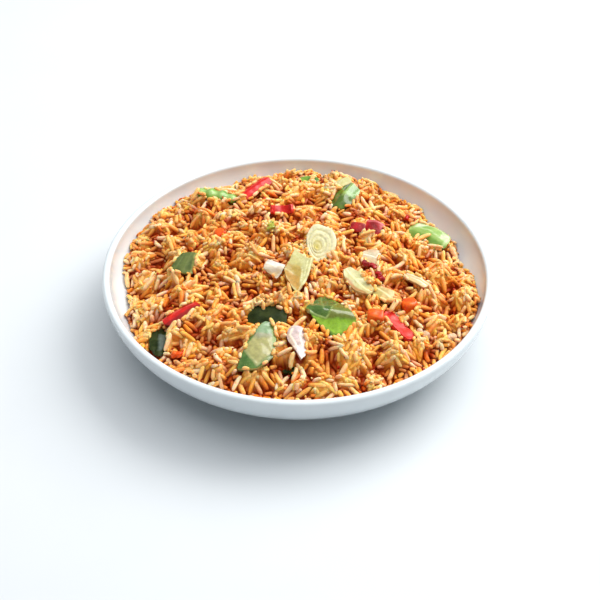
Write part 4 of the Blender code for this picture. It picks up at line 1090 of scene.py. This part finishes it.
class Heap:
    """Heights of all that lies in the bowl so far, in millimetres, on square cells."""

    def __init__(self, pieces):
        self.axis = AXIS
        self.mound = sampled(lambda x, y: mound_height(x, y)[0])
        self.inside = sampled(lambda x, y: mound_height(x, y)[1])
        self.clumps = scattered_clumps()
        self.domes = np.zeros((CELLS, CELLS))
        self.clump_of = np.full((CELLS, CELLS), -1)
        self.raise_clumps()
        fade = np.clip(self.inside / LUMP_FADE, 0, 1)
        self.domes *= (EDGE_CLUMP_SHARE
                       + (1 - EDGE_CLUMP_SHARE) * np.clip(self.inside / CLUMP_FADE, 0, 1))
        # The mound before its hollows, from which the level is found, so that grains in the hollows take
        # more painted shade.
        self.smooth = self.mound.copy()
        for x, y, reach, depth in HOLLOWS:
            cells, dx, dy = self.window(x, y, 2 * reach)
            hollow = np.exp(-(dx ** 2 + dy ** 2) / reach ** 2)
            self.mound[cells] -= depth * hollow
            self.domes[cells] *= 1 - HOLLOW_FLATTENS * hollow
        self.tops = np.full((CELLS, CELLS), -1.0)
        self.unders = np.full((CELLS, CELLS), OUTSIDE)
        for made in pieces:
            self.lay(made)
        self.covered = self.tops > 0
        share = self.covered.astype(float)
        self.near = softened(share, ROOM_WIDTH)
        buried = self.mound - RECESS_SINK * fade + self.domes > self.tops + BURY_RISE
        tucked = self.covered & (buried | (softened(share, TUCK_WIDTH) <= TUCK_WITHIN))
        self.limit = np.where(self.covered & ~tucked, self.tops - UNDER_TOP, OUTSIDE)
        self.roof = np.where(tucked, self.tops + TUCK_RISE, self.unders - UNDER_GAP)
        self.domes += ROOM_RISE * np.clip(self.near * 2.5, 0, 1) * (self.domes > CLUMP_EDGE)
        front = np.clip((FRONT_FROM - self.axis) / FRONT_FADE, 0, 1)[:, None]
        self.raw = self.mound - RECESS_SINK * (1 - FRONT_SHARE * front) * fade
        close = softened(share, BANK_WIDTH)
        beside = softened(np.where(self.covered, self.tops, 0), BANK_WIDTH)
        beside /= np.maximum(close, 0.02)
        bank = np.clip(close * BANK_SHARE, 0, 1)
        self.banked = self.raw + bank * np.maximum(beside - BANK_DROP - self.raw, 0)
        self.rise = END_RISE * (0.25 + 0.75 * fade)
        self.aim(np.minimum(self.banked, self.roof))
        wall = sampled(lambda x, y: wall_height(math.hypot(x, y)))
        self.low = np.maximum(np.maximum(self.target - CORE_DEPTH, FLOOR_HEIGHT), wall)
        self.tucked = tucked
        self.height = np.where(tucked, np.maximum(self.low, self.tops), self.low)
        self.owner = np.full((CELLS, CELLS), -1)

    def aim(self, target):
        """Set the heights to fill to, with their slopes and the room for grains' ends."""
        self.target = target
        self.ceiling = target + self.rise
        self.fall_y, self.fall_x = np.gradient(softened(target, SLOPE_WIDTH), CELL)

    def raise_to_clumps(self):
        """Bring the target and the heights up to the clumps, less their own grains."""
        self.aim(np.minimum(np.maximum(self.banked, self.raw + self.domes), self.roof))
        clumped = self.domes > CLUMP_EDGE
        self.height = np.where(clumped, np.maximum(self.height, self.target - CLUMP_DEPTH),
                               self.height)
        lowest = np.minimum(self.target, self.unders - UNDER_GAP) - CLUMP_DEPTH
        self.low = np.where(clumped, np.maximum(self.low, lowest), self.low)

    def open_tops(self):
        """Take the pieces into the heights, so that grains may lie on them."""
        self.height = np.maximum(self.height, self.tops)
        self.limit[:] = OUTSIDE
        self.ceiling = self.height + TOP_RISE

    def settle(self):
        """Keep the bed that the grains make, and find its level, from which painted shade and painted
        light on the grains are measured.
        """
        self.bed = np.where(self.tucked, self.low, self.height)
        inside = (self.inside > 0).astype(float)
        rise = softened(np.where(self.inside > 0, self.height - self.smooth, 0), LEVEL_WIDTH)
        self.levels = self.smooth + rise / np.maximum(softened(inside, LEVEL_WIDTH), 0.05)

    def level(self, points):
        """The heap's level at points."""
        return self.levels[self.cell(points[:, 1]), self.cell(points[:, 0])]

    def cell(self, value):
        """Index of the cells that places are in."""
        index = ((value + FIELD_HALF) / CELL).astype(int)
        return np.clip(index, 0, CELLS - 1)

    def window(self, x, y, reach):
        """Slices of the cells within a reach of a place, and their distances from it."""
        x0, x1 = self.cell(np.array([x - reach, x + reach]))
        y0, y1 = self.cell(np.array([y - reach, y + reach]))
        dx = self.axis[x0:x1 + 1][None, :] - x
        dy = self.axis[y0:y1 + 1][:, None] - y
        return (slice(y0, y1 + 1), slice(x0, x1 + 1)), dx, dy

    def raise_clumps(self):
        """Add each clump's dome to the domes, with a ragged outline."""
        warp = sampled(lambda x, y: unevenness(x, y, 6, 21) + 0.6 * unevenness(x, y, 2.6, 22))
        for index, clump in enumerate(self.clumps):
            cells, dx, dy = self.window(clump.x, clump.y, clump.reach * 1.5)
            cos, sin = math.cos(clump.turn), math.sin(clump.turn)
            along = (dx * cos + dy * sin) / clump.reach
            across = (dy * cos - dx * sin) / (clump.reach * clump.narrow)
            away = np.hypot(along, across) * (1 + CLUMP_RAGGED * warp[cells])
            dome = clump.rise * np.sqrt(np.clip(1 - away ** 2.4, 0, 1))
            taller = dome > self.domes[cells]
            self.domes[cells][taller] = dome[taller]
            self.clump_of[cells][taller] = index

    def lay(self, made):
        """Mark the top and the underside of a piece that lies in the heap."""
        bm = bmesh.new()
        bm.from_mesh(made.data)
        tree = BVHTree.FromBMesh(bm)
        places = np.array([vert.co[:2] for vert in bm.verts]) / MM
        bm.free()
        low = self.cell(places.min(0))
        high = self.cell(places.max(0))
        for row in range(low[1], high[1] + 1):
            for column in range(low[0], high[0] + 1):
                above = Vector((self.axis[column], self.axis[row], 120)) * MM
                found = tree.ray_cast(above, Vector((0, 0, -1)))[0]
                if found is None:
                    continue
                self.tops[row, column] = max(self.tops[row, column], found.z / MM)
                above.z = 0
                found = tree.ray_cast(above, Vector((0, 0, 1)))[0]
                self.unders[row, column] = min(self.unders[row, column], found.z / MM)


@dataclass
class Grain:
    """A laid grain: its middle, its direction in the plan, its slope and its size."""

    x: float
    y: float
    z: float
    yaw: float
    slope: float
    length: float
    radius: float
    broken: bool


def grain_radius(share, broken):
    """Radius of a grain at shares of its half length, as a share of its radius."""
    round_end = np.sqrt(np.clip(1 - np.abs(share) ** 4.5, 0, 1))
    if not broken:
        return round_end
    blunt_end = np.sqrt(np.clip(1 - np.abs(share) ** 7, 0, 1))
    return np.where(share > 0, blunt_end, round_end)


def rest(heap, chance, x, y, yaw, length, radius, broken, loose):
    """Slope and middle height at which a grain comes to rest, or None if it can't.

    A loose grain lies on whatever is under it. A grain of a clump follows the clump's
    own slope, held by its middle, so that its ends stand out over the recesses.
    """
    along = STATIONS * length / 2
    ring = radius * grain_radius(STATIONS * 0.98, broken)
    side = np.array([-0.6, 0, 0.6])[:, None] * ring[None, :]
    px = x + along * math.cos(yaw) - side * math.sin(yaw)
    py = y + along * math.sin(yaw) + side * math.cos(yaw)
    rows, columns = heap.cell(py), heap.cell(px)
    ground = heap.height[rows, columns]
    if ground.max() > OUTSIDE * 0.6:
        return None
    below = np.sqrt(np.clip(ring ** 2 - side ** 2, 0, None))
    need = (ground + below).max(0)
    row, column = heap.cell(np.array([y, x]))
    ends = heap.ceiling[rows[1, [0, -1]], columns[1, [0, -1]]]
    if loose:
        rise = (need[None, :] - SLOPES[:, None] * along[None, :]).max(1)
        slope = SLOPES[int(rise.argmin())] + chance.gauss(0, 0.12)
        height = (need - slope * along).max() - chance.uniform(0.3, 0.8)
    else:
        slope = (heap.fall_x[row, column] * math.cos(yaw)
                 + heap.fall_y[row, column] * math.sin(yaw) + chance.gauss(0, 0.26))
        slope = max(-STEEPEST, min(STEEPEST, slope))
        middle = slice(4, 7)
        height = (need - slope * along)[middle].max() - chance.uniform(0.5, 1.0)
    if (height + slope * along[[0, -1]] > ends).any():
        return None
    if (height + slope * along + 0.7 * ring > heap.limit[rows, columns]).any():
        return None
    return slope, height


def stand(heap, chance, x, y, length):
    """A grain that stands in its clump with one end out, or None if it is in the way."""
    row, column = heap.cell(np.array([y, x]))
    lean = np.array([-0.9 * heap.fall_x[row, column] + chance.gauss(0, 0.5),
                     -0.9 * heap.fall_y[row, column] + chance.gauss(0, 0.5), 1.0])
    lean /= np.linalg.norm(lean)
    out = chance.uniform(*STANDING_OUT) * lean[2]
    end = heap.target[row, column] + out
    if heap.height[row, column] > end - 1.0 or end > heap.limit[row, column]:
        return None
    middle = np.array([x, y, end]) - lean * length / 2
    steepness = lean[2] / max(0.2, math.hypot(lean[0], lean[1]))
    return middle, math.atan2(lean[1], lean[0]), steepness


def press(heap, grain, index):
    """Raise the heights under a laid grain to its upper side."""
    cells, dx, dy = heap.window(grain.x, grain.y, grain.length / 2 + grain.radius)
    cos, sin = math.cos(grain.yaw), math.sin(grain.yaw)
    level = 1 / math.sqrt(1 + grain.slope ** 2)
    along = dx * cos + dy * sin
    across = dy * cos - dx * sin
    half = grain.length / 2 * level
    ring = grain.radius * grain_radius(np.clip(along / half, -1, 1), grain.broken)
    inside = (np.abs(along) < half) & (np.abs(across) < ring)
    up = np.sqrt(np.clip(ring ** 2 - across ** 2, 0, None)) / level
    top = grain.z + grain.slope * along + up
    raised = inside & (top > heap.height[cells])
    heap.height[cells][raised] = top[raised]
    heap.owner[cells][raised] = index


def lay_grain(heap, chance, row, column, clumped, scrap=None):
    """Lay one grain at a cell, turned so that it finds rest, or return None."""
    x = heap.axis[column] + chance.uniform(-0.2, 0.2)
    y = heap.axis[row] + chance.uniform(-0.2, 0.2)
    broken = chance.random() < BROKEN_SHARE
    length = chance.uniform(*(BROKEN_LENGTH if broken else GRAIN_LENGTH))
    radius = chance.uniform(*GRAIN_RADIUS)
    if scrap:
        length = chance.uniform(*scrap)
        radius *= SCRAP_THIN
    if clumped and not broken and chance.random() < STANDING_SHARE:
        found = stand(heap, chance, x, y, length)
        if found:
            middle, yaw, slope = found
            return Grain(*middle, yaw, slope, length, radius, broken)
    for _ in range(YAWS):
        yaw = chance.uniform(0, math.tau)
        if clumped and chance.random() < COMBED_SHARE:
            yaw = heap.clumps[heap.clump_of[row, column]].flow + chance.gauss(0, 0.5)
        found = rest(heap, chance, x, y, yaw, length, radius, broken, not clumped)
        if found:
            return Grain(x, y, found[1], yaw, found[0], length, radius, broken)
    return None


def lay_grains(heap, chance, grains, where, clumped):
    """Lay grains where the heap is lowest under its target, until it is full."""
    rows, columns = np.nonzero(where & (heap.inside > 1.2) & (heap.near < 0.9))
    full = heap.target - FULL_WITHIN
    missed = 0
    while missed < MISSES and len(grains) < MOST_GRAINS:
        picks = [chance.randrange(len(rows)) for _ in range(10)]
        lack = full[rows[picks], columns[picks]] - heap.height[rows[picks], columns[picks]]
        pick = picks[int(lack.argmax())]
        row, column = rows[pick], columns[pick]
        if lack.max() < 0:
            missed += 1
            continue
        grain = lay_grain(heap, chance, row, column, clumped)
        if grain is None:
            grain = lay_grain(heap, chance, row, column, clumped, SCRAP_LENGTH)
        if grain is None:
            full[row - 2:row + 3, column - 2:column + 3] -= NO_ROOM
            continue
        missed = 0
        press(heap, grain, len(grains))
        grains.append(grain)


def lay_over(heap, chance, grains, row, column):
    """Lay one loose grain on whatever is at a cell, if it finds rest there."""
    grain = lay_grain(heap, chance, row, column, False)
    if grain is not None:
        press(heap, grain, len(grains))
        grains.append(grain)


def filled(heap):
    """Lay all grains: loose ones in the recesses, then those of the clumps."""
    chance = random.Random(SEED)
    grains = []
    lay_grains(heap, chance, grains, heap.domes < 2 * CLUMP_EDGE, False)
    heap.raise_to_clumps()
    lay_grains(heap, chance, grains, heap.domes > CLUMP_EDGE, True)
    heap.settle()
    heap.open_tops()
    edges = np.nonzero((heap.near > 0.2) & (heap.near < 0.7))
    for _ in range(EDGE_GRAINS):
        pick = chance.randrange(len(edges[0]))
        lay_over(heap, chance, grains, edges[0][pick], edges[1][pick])
    for x, y, reach, count in COVERED:
        for _ in range(count):
            place = np.array([y + chance.gauss(0, reach / 2), x + chance.gauss(0, reach / 2)])
            lay_over(heap, chance, grains, *heap.cell(place))
    return grains


# ------------------------------------------------------------------ looks of the rice


def sauced_and_shaded(level, points, tint):
    """Tint of points, with painted shade and sauce: darker and redder the deeper they lie under the heap's
    level; and with painted light, paler the higher they stand over it.
    """
    rise = points[:, 2] - level
    # Painted shade, with sauce, under the level.
    shallow = np.clip((rise - RECESS_SHADE_RANGE[0]) / (RECESS_SHADE_RANGE[1] - RECESS_SHADE_RANGE[0]), 0, 1)[:, None]
    shade_and_sauce = np.array(RECESS_SHADE_AND_SAUCE) * (1 - shallow) + shallow
    # Painted light on the tops over the level.
    top = np.clip((rise - PAINTED_TOP_LIGHT_RANGE[0]) / (PAINTED_TOP_LIGHT_RANGE[1] - PAINTED_TOP_LIGHT_RANGE[0]), 0, 1)[:, None]
    tint = tint * shade_and_sauce * (1 - PAINTED_TOP_LIGHT_SHARE * top) + np.array(PAINTED_TOP_LIGHT) * PAINTED_TOP_LIGHT_SHARE * top
    return np.concatenate([np.clip(tint, 0, 1), np.ones((len(points), 1))], 1)


def ring_template(sides, rings):
    """Ring places, angles and triangles of a grain."""
    shares = np.sin(np.linspace(-1, 1, rings) * math.pi / 2 * 0.93)
    angles = np.arange(sides) * 2 * math.pi / sides
    triangles = []
    for ring in range(rings - 1):
        for side in range(sides):
            a = ring * sides + side
            b = ring * sides + (side + 1) % sides
            triangles += [(a, b, b + sides), (a, b + sides, a + sides)]
    start, end = rings * sides, rings * sides + 1
    last = (rings - 1) * sides
    for side in range(sides):
        following = (side + 1) % sides
        triangles.append((start, following, side))
        triangles.append((end, last + side, last + following))
    return shares, angles, np.array(triangles)


def grain_points(grain, shares, angles, chance):
    """Points of one grain: bent, a little flat and a little uneven."""
    half = grain.length / 2
    ring = grain.radius * grain_radius(shares, grain.broken)
    bow = chance.gauss(0, 0.35) * half / 4
    twist = chance.uniform(0, math.pi)
    flat = chance.uniform(0.82, 1.0)
    uneven = 1 + np.array([chance.gauss(0, 0.05) for _ in range(len(shares))])
    ring = ring * uneven
    y = ring[:, None] * np.cos(angles)[None, :]
    z = ring[:, None] * np.sin(angles)[None, :] * flat
    cos, sin = math.cos(twist), math.sin(twist)
    y, z = y * cos - z * sin, y * sin + z * cos
    y = y + (bow * (1 - shares ** 2) - bow * 0.5)[:, None]
    x = np.repeat((shares * half)[:, None], len(angles), 1)
    body = np.stack([x, y, z], 2).reshape(-1, 3)
    tips = np.array([[-half, -bow * 0.5, 0], [half, -bow * 0.5, 0]])
    points = np.concatenate([body, tips])
    pitch = math.atan(grain.slope)
    turn = Matrix.Rotation(grain.yaw, 3, "Z") @ Matrix.Rotation(-pitch, 3, "Y")
    return points @ np.array(turn).T + (grain.x, grain.y, grain.z)


def add_grains(heap, grains):
    """Make one piece for each tint of grain, with fine meshes where grains show."""
    chance = random.Random(SEED + 1)
    owner = np.where(heap.tops > heap.height, -1, heap.owner)
    shown = np.bincount(owner[owner >= 0], minlength=len(grains))
    fine = ring_template(7, 7)
    plain = ring_template(5, 4)
    parts = {name: [] for name, _, _ in TINTS}
    weights = [share for _, _, share in TINTS]
    for index, grain in enumerate(grains):
        row, column = heap.cell(np.array([grain.y, grain.x]))
        depth = heap.height[row, column] - grain.z
        if shown[index] == 0 and (depth > 3.2 or heap.near[row, column] > 0.8):
            continue
        clump = heap.clump_of[row, column]
        paleness = 0.4 * unevenness(grain.x, grain.y, 14, 31)
        if clump >= 0:
            paleness += 0.8 * heap.clumps[clump].warmth
        paleness = max(-0.9, min(0.9, paleness))
        tilted = [weights[0] * (1 + paleness), weights[1] * (1 + paleness / 2),
                  weights[2] * (1 - paleness / 2), weights[3] * (1 - paleness)]
        name, tint, _ = chance.choices(TINTS, weights=tilted)[0]
        shares, angles, triangles = fine if shown[index] > 6 else plain
        points = grain_points(grain, shares, angles, chance)
        base = np.array(tint) * chance.uniform(0.86, 1.1)
        base = base * np.array([1, chance.uniform(0.9, 1.1), chance.uniform(0.8, 1.2)])
        if name == "rice_pale":
            base += (np.array(WHITE_TINT) - base) * chance.random() ** 2
        ends = np.append(np.repeat(np.abs(shares), len(angles)), [1, 1])
        pale = chance.uniform(-0.1, 0.35) * ends ** 3
        colours = base * (1 - pale[:, None]) + np.array(END_TINT) * pale[:, None]
        # Painted shade in the recesses and painted light on the tops.
        colours = sauced_and_shaded(heap.level(points), points, colours)
        parts[name].append((points, triangles, colours))
    for name in parts:
        rice_piece(name, parts[name], rice(name + "_skin"))


def add_core(heap):
    """Make the heart of the heap: sticky rice that fills in between the laid grains."""
    surface = softened(heap.bed, 0.4)
    clumped = np.clip(softened((heap.domes > 1.6).astype(float), 2.0), 0, 1)
    surface -= FILM_DEPTH[1] + (FILM_DEPTH[0] - FILM_DEPTH[1]) * clumped
    surface = np.minimum(surface, heap.unders - UNDER_GAP)
    rings = 140
    columns = 640
    azimuths = np.arange(columns) * math.tau / columns
    edges = np.array([edge_height(azimuth) - 1.5 for azimuth in azimuths])
    reach = np.array([wall_radius(edge - GAP) - GAP - 0.4 for edge in edges])
    shares = np.arange(1, rings + 1) / rings
    x = (shares[:, None] * reach * np.cos(azimuths)).ravel()
    y = (shares[:, None] * reach * np.sin(azimuths)).ravel()
    rows, places = heap.cell(y), heap.cell(x)
    tops = surface[rows, places]
    outer = np.repeat(np.clip((shares - 0.93) / 0.07, 0, 1), columns)
    tops = tops * (1 - outer) + np.tile(edges, rings) * outer
    body = np.stack([x, y, tops], 1)
    middle = heap.cell(np.array([0.0]))[0]
    body = np.concatenate([[[0, 0, surface[middle, middle]]], body])
    levels = []
    for level in range(1, 5):
        heights = edges + (FLOOR_HEIGHT + GAP - edges) * level / 4
        radii = np.array([wall_radius(height - GAP) - GAP - 0.4 for height in heights])
        levels.append(np.stack([radii * np.cos(azimuths), radii * np.sin(azimuths), heights], 1))
    points = np.concatenate([body] + levels + [[[0, 0, FLOOR_HEIGHT + GAP]]])
    side = np.arange(columns)
    following = (side + 1) % columns
    faces = [np.stack([np.zeros(columns, int), 1 + side, 1 + following], 1)]
    for ring in range(rings + len(levels) - 1):
        a = 1 + ring * columns + side
        b = 1 + ring * columns + following
        faces.append(np.stack([a, a + columns, b + columns], 1))
        faces.append(np.stack([a, b + columns, b], 1))
    last = 1 + (rings + len(levels) - 1) * columns
    faces.append(np.stack([np.full(columns, len(points) - 1), last + following, last + side], 1))
    # The sticky rice takes the same painted shade and painted top light.
    tint = sauced_and_shaded(heap.level(points), points, np.tile(FILM_TINT, (len(points), 1)))
    rice_piece("rice_core", [(points, np.concatenate(faces), tint)], rice("rice_core_skin"))


def blob_template():
    """Points and triangles of a small lump."""
    bm = bmesh.new()
    bmesh.ops.create_icosphere(bm, subdivisions=1, radius=1)
    points = np.array([vert.co[:] for vert in bm.verts])
    triangles = np.array([[vert.index for vert in face.verts] for face in bm.faces])
    bm.free()
    return points, triangles


def scatter_crumbs(heap, name, count, sizes, stretch, material, seed, patchy=0.0):
    """Scatter small lumps over the heap as one piece."""
    chance = random.Random(SEED + seed)
    rows, columns = np.nonzero((heap.inside > 1.0) & ~heap.covered)
    shape, triangles = blob_template()
    parts = []
    while len(parts) < count:
        pick = chance.randrange(len(rows))
        x = heap.axis[columns[pick]]
        y = heap.axis[rows[pick]]
        if patchy and unevenness(x, y, 13, 50 + seed) < chance.uniform(-patchy, patchy):
            continue
        size = chance.uniform(*sizes)
        height = heap.height[rows[pick], columns[pick]] + size * chance.uniform(-0.1, 0.35)
        jitter = 1 + np.array([[chance.gauss(0, 0.13)] for _ in shape])
        lump = shape * jitter * np.array(stretch) * size / 2
        turn = Euler([chance.uniform(0, math.tau) for _ in range(3)]).to_matrix()
        lump = lump @ np.array(turn).T + (x, y, height)
        tint = np.array(TINTS[chance.choice((0, 1, 1, 2, 3))][1]) * chance.uniform(0.8, 1.1)
        tints = np.tile(np.append(np.clip(tint, 0, 1), 1), (len(shape), 1))
        parts.append((lump, triangles, tints))
    rice_piece(name, parts, material)


# ------------------------------------------------------------------ stage


def add_floor():
    """A plain pale floor."""
    bm = bmesh.new()
    bmesh.ops.create_grid(bm, x_segments=1, y_segments=1, size=3)
    floor = placed("floor", mesh_of("floor", bm))
    paint = Paint("floor_paint", Roughness=0.9)
    tone = paint.ramp(paint.noise(60), 0.3, (0.67, 0.70, 0.72), 0.7, (0.68, 0.71, 0.73))
    paint.tree.links.new(tone, paint.shader["Base Color"])
    floor.data.materials.append(paint.material)


def add_light(name, azimuth, elevation, distance, size, power, colour):
    """A square area light that faces the dish, with its angles in degrees."""
    light = bpy.data.lights.new(name, "AREA")
    light.size = size
    light.energy = power
    light.color = colour
    a, e = math.radians(azimuth), math.radians(elevation)
    away = Vector((math.cos(a) * math.cos(e), math.sin(a) * math.cos(e), math.sin(e)))
    made = placed(name, light)
    made.location = away * distance
    made.rotation_euler = away.to_track_quat("Z", "Y").to_euler()
    return made


def add_light_and_camera():
    """Soft daylight from the back right, and the camera over the front."""
    world = bpy.data.worlds.new("daylight")
    world.use_nodes = True
    sky = world.node_tree.nodes["Background"]
    sky.inputs["Color"].default_value = (0.93, 0.97, 1.0, 1)
    sky.inputs["Strength"].default_value = 0.22
    bpy.context.scene.world = world
    add_light("window", 32, 48, 1.6, 1.2, 23.5, (1.0, 0.99, 0.97))
    overhead = add_light("overhead", 55, 80, 1.5, 2.4, 33, (0.97, 0.98, 1.0))
    overhead.visible_glossy = False
    camera = placed("camera", bpy.data.cameras.new("camera"))
    camera.data.lens = 68.94
    camera.data.sensor_width = 36
    camera.data.clip_start = 0.01
    turn = Matrix(((0.99996, 0.00451, 0.00817), (-0.00914, 0.65345, 0.75692),
                   (-0.00192, -0.75696, 0.65346))).transposed()
    camera.matrix_world = Matrix.Translation((0, -0.58285, 0.518)) @ turn.to_4x4()
    bpy.context.scene.camera = camera
    bpy.context.scene.view_settings.view_transform = "Standard"


def main():
    """Build the whole dish and its stage."""
    noise.seed_set(SEED)
    add_light_and_camera()
    add_floor()
    add_bowl()
    skins = vegetable_skins()
    pieces = [add_sheet(sheet, skins) for sheet in SHEETS]
    pieces += [add_dice(dice.name + "_cooked", [dice], skins, dice.name)
               for dice in DICE]
    pieces += [add_dice(name, dices, skins, "rice") for slot, name, dices in CHIPS]
    pieces += [add_pod(skins), add_leek_slice(skins)]
    heap = Heap(pieces)
    add_grains(heap, filled(heap))
    add_core(heap)
    scatter_crumbs(heap, "rice_crumbs", 180, (1.0, 2.0), (1.4, 1, 0.8), rice("crumb_skin", 0.5),
                   2, patchy=0.9)
    scatter_crumbs(heap, "chilli_flakes", 150, (0.9, 2.4), (1.3, 0.9, 0.3),
                   crumb_skin("flake_skin", (0.30, 0.01, 0.005), (0.62, 0.05, 0.01)),
                   3)
    scatter_crumbs(heap, "spice_specks", 160, (0.5, 1.0), (1, 1, 0.8),
                   crumb_skin("speck_skin", (0.03, 0.012, 0.005), (0.12, 0.05, 0.02)),
                   4)


main()
